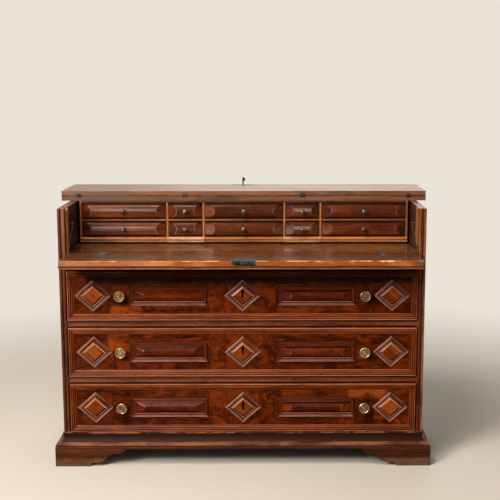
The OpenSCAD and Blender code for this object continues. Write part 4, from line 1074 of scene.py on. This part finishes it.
def nailGrowth():  # flattened round heads, of slightly different size
    g = Growth("nails", {"Radius": "Float", "Height": "Float", "Turn": "Vector"})
    head = g.node("MeshUVSphere", None, {"Segments": 14, "Rings": 8, "Radius": 1.0})
    size = g.chance(0.85, 1.15)
    wide, high = size * g.given["Radius"], size * g.given["Height"]
    scale = g.node("CombineXYZ", None, {0: wide, 1: wide, 2: high}, prefix="ShaderNode")
    return g.finish(head[0], g.given["Turn"], scale[0])


def turned(name, profile, segments):  # a shape turned about an axis along Y, its profile in mm
    mesh = bpy.data.meshes.new(name)
    points, faces = [], []
    for radius, out in profile:
        for part in range(segments):
            angle = 2 * math.pi * part / segments
            points.append((radius / 1000 * math.cos(angle), -out / 1000, radius / 1000 * math.sin(angle)))
    for ring in range(len(profile) - 1):
        for part in range(segments):
            a, b = ring * segments + part, ring * segments + (part + 1) % segments
            faces.append((a, b, b + segments, a + segments))
    mesh.from_pydata(points, [], faces)
    return bpy.data.objects.new(name, mesh)


longKnobProfile = [(0, 0), (13.0, 0), (13.6, 1.0), (13.2, 2.4), (11.0, 3.2), (8.4, 3.6), (7.0, 5.2),
                   (6.2, 8.0), (6.0, 11.5), (6.6, 14.5), (8.6, 16.6), (13, 18.0), (18.6, 19.2),
                   (21.6, 20.6), (22.5, 22.4), (22.5, 24.2), (21.8, 26.0), (20.4, 27.0), (18.9, 26.9),
                   (17.4, 25.8), (16.6, 23.6),
                   (15.6, 22.2), (13.2, 22.2), (12.4, 23.8), (11.6, 26.0), (10.6, 27.2), (9.2, 27.2),
                   (8.0, 26.2), (7.2, 25.0), (6.4, 24.8), (5.6, 25.8), (4.9, 28.0), (3.8, 29.8), (2.2, 30.9),
                   (0, 31.3)]
smallKnobProfile = [(0, 0), (5.4, 0), (5.6, 0.8), (4.6, 1.8), (3.5, 2.8), (3.1, 5.0), (3.3, 8.0), (4.6, 9.6),
                    (7.6, 10.8), (9.6, 12.6), (10.4, 15.0), (10.2, 17.4), (8.8, 19.6), (6.4, 21.0),
                    (3.4, 21.8), (0, 22.0)]
knobs, nails = knobGrowth(), nailGrowth()
longKnob = turned("longKnob", longKnobProfile, 40)
smallKnob = turned("smallKnob", smallKnobProfile, 24)
for number, cz in longSettings["heights"].items():
    spots = [(side * longSettings["knobX"], longSettings["face"], cz) for side in (-1, 1)]
    mesh = knobs.run(spots, {"Knob": longKnob, "Size": 1.0, "Seed": number, "Material": brass})
    finishMesh(mesh, f"long_{number}_pulls", brass, f"long_drawer_{number}",
               [f"long_{number}_knobs"])
print("knobs turned")


# Small drawers

smallSettings = {"nestFront": 0.06075, "proud": 0.001, "boardBack": 0.00675, "swell": 0.013, "slope": 0.042,
                 "slopeShare": 0.24, "wall": 0.006, "floor": 0.005, "sunk": 0.0002, "inset": 0.0005,
                 "boxLow": 0.003,
                 # left end, field and right end of each drawer; partly painted highlight: the pale fields of
                 # drawers 1, 4, 6 and 9 and the pale left ends of 3 and 8
                 "tones": {1: (0.6, 1.05, 0.45), 2: (0.35, 0.6, 0.5), 3: (1.1, 0.6, 0.8), 4: (0.6, 1.0, 0.5),
                           5: (0.45, 0.55, 0.5), 6: (0.1, 0.9, 0.35), 7: (0.3, 0.6, 0.6), 8: (1.0, 0.65, 0.8),
                           9: (0.6, 1.0, 0.5), 10: (0.55, 0.65, 0.2)}}


def board(shape, low, high, grain, tone):  # a plain board between two corners, its fibres along one axis
    (x0, y0, z0), (x1, y1, z1) = low, high
    spots = [(x, y, z) for x in (x0, x1) for y in (y0, y1) for z in (z0, z1)]
    start = len(shape.points)
    shape.points.extend(spots)
    for ring in ((0, 1, 3, 2), (4, 6, 7, 5), (0, 4, 5, 1), (2, 3, 7, 6), (0, 2, 6, 4), (1, 5, 7, 3)):
        others = [axis for axis in range(3) if axis != grain]
        marks = [((spots[i][grain], sum(spots[i][axis] for axis in others)), 0.0, 0.15, tone) for i in ring]
        shape.face([start + i for i in ring], marks)


def smallDrawer(number, settings, finishes):
    body, node = f"small_drawer_{number}", f"small_{number}"
    low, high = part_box(node)
    draw = random.Random(100 + number)
    cx, halfW = (low.x + high.x) / 2, (high.x - low.x) / 2
    cz, halfH = (low.z + high.z) / 2, (high.z - low.z) / 2
    face = settings["nestFront"] - settings["proud"]
    back = settings["nestFront"] + settings["boardBack"]
    slope = min(settings["slope"], settings["slopeShare"] * halfW * 2)
    front = Shape()
    cushionBlock(front, cx, cz, halfW, halfH, slope, 0.0, settings["swell"], face,
                 settings["tones"][number], back=back)
    front.build(node + "_front", finishes["front"], body, "walnut_burl", [node])
    box = Shape()
    x0, x1 = low.x + settings["inset"], high.x - settings["inset"]
    z0, z1 = low.z, high.z - settings["boxLow"]
    wall, base = settings["wall"], low.z + settings["floor"]
    tones = [draw.uniform(0.3, 0.7) for _ in range(4)]
    board(box, (x0, back, z0), (x0 + wall, high.y, z1), 1, tones[0])
    board(box, (x1 - wall, back, z0), (x1, high.y, z1), 1, tones[1])
    board(box, (x0 + wall, high.y - wall, z0), (x1 - wall, high.y, z1), 0, tones[2])
    board(box, (x0 + wall, back, z0), (x1 - wall, high.y - wall, base), 0, tones[3])
    box.build(node + "_box", finishes["box"], body, "poplar", [node])
    mesh = knobs.run([(cx, face - settings["swell"] + settings["sunk"], cz)],
                     {"Knob": smallKnob, "Size": 1.0, "Seed": 40 + number, "Material": bronze})
    finishMesh(mesh, node + "_knob", bronze, body, [node])


smallFinishes = {"front": woodFinish("smallFront", "cushion", "strip", 50.0),
                 "box": woodFinish("smallBox", "plain", "strip", 51.0)}
for number in range(1, 11):
    smallDrawer(number, smallSettings, smallFinishes)
print("small drawers made")


# Nails in the ironwork

pale = metalFinish("paleIron", 3.0)
dress(["fall_hinges_fixed", "fall_hinges_moving", "fall_hinge_pins"], metalFinish("rustyIron", 5.0))
lockLow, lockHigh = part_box("fall_lock")
haspLow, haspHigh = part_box("lid_hasp")
lockSpots = ((0.06, 0.014), (0.37, 0.011), (0.49, 0.012), (0.80, 0.010), (0.94, 0.015))  # share, height
plateSpots = ((0.08, 0.020), (0.92, 0.020), (0.20, 0.065), (0.80, 0.065))  # share, distance back
flat = (0.0, 0.0, 0.0)


def across(low, high, share):  # a share of the way over a plate
    return low.x + share * (high.x - low.x)


nailSettings = {
    "fall_lock_nails": {
        "spots": [(across(lockLow, lockHigh, share), lockLow.y + 0.0009, lockLow.z + up)
                  for share, up in lockSpots],
        "body": "fall_front", "material": pale, "radius": 0.0030, "height": 0.0010,
        "turn": (math.pi / 2, 0.0, 0.0), "seed": 2},
    "fall_plate_nails": {
        "spots": [(across(lockLow, lockHigh, share), lockLow.y + back, lockHigh.z)
                  for share, back in plateSpots],
        "body": "fall_front", "material": pale, "radius": 0.0030, "height": 0.0008, "turn": flat, "seed": 3},
    "hasp_nails": {
        "spots": [(across(haspLow, haspHigh, share), haspLow.y + 0.006, haspLow.z + 0.0002)
                  for share in (0.1, 0.3, 0.74, 0.92)],
        "body": "top_flap", "material": iron, "radius": 0.0026, "height": 0.0010, "turn": flat, "seed": 4},
}
for name, settings in nailSettings.items():
    mesh = nails.run(settings["spots"], {"Radius": settings["radius"], "Height": settings["height"],
                                         "Turn": settings["turn"], "Seed": settings["seed"],
                                         "Material": settings["material"]})
    finishMesh(mesh, name, settings["material"], settings["body"])
print("nails driven")
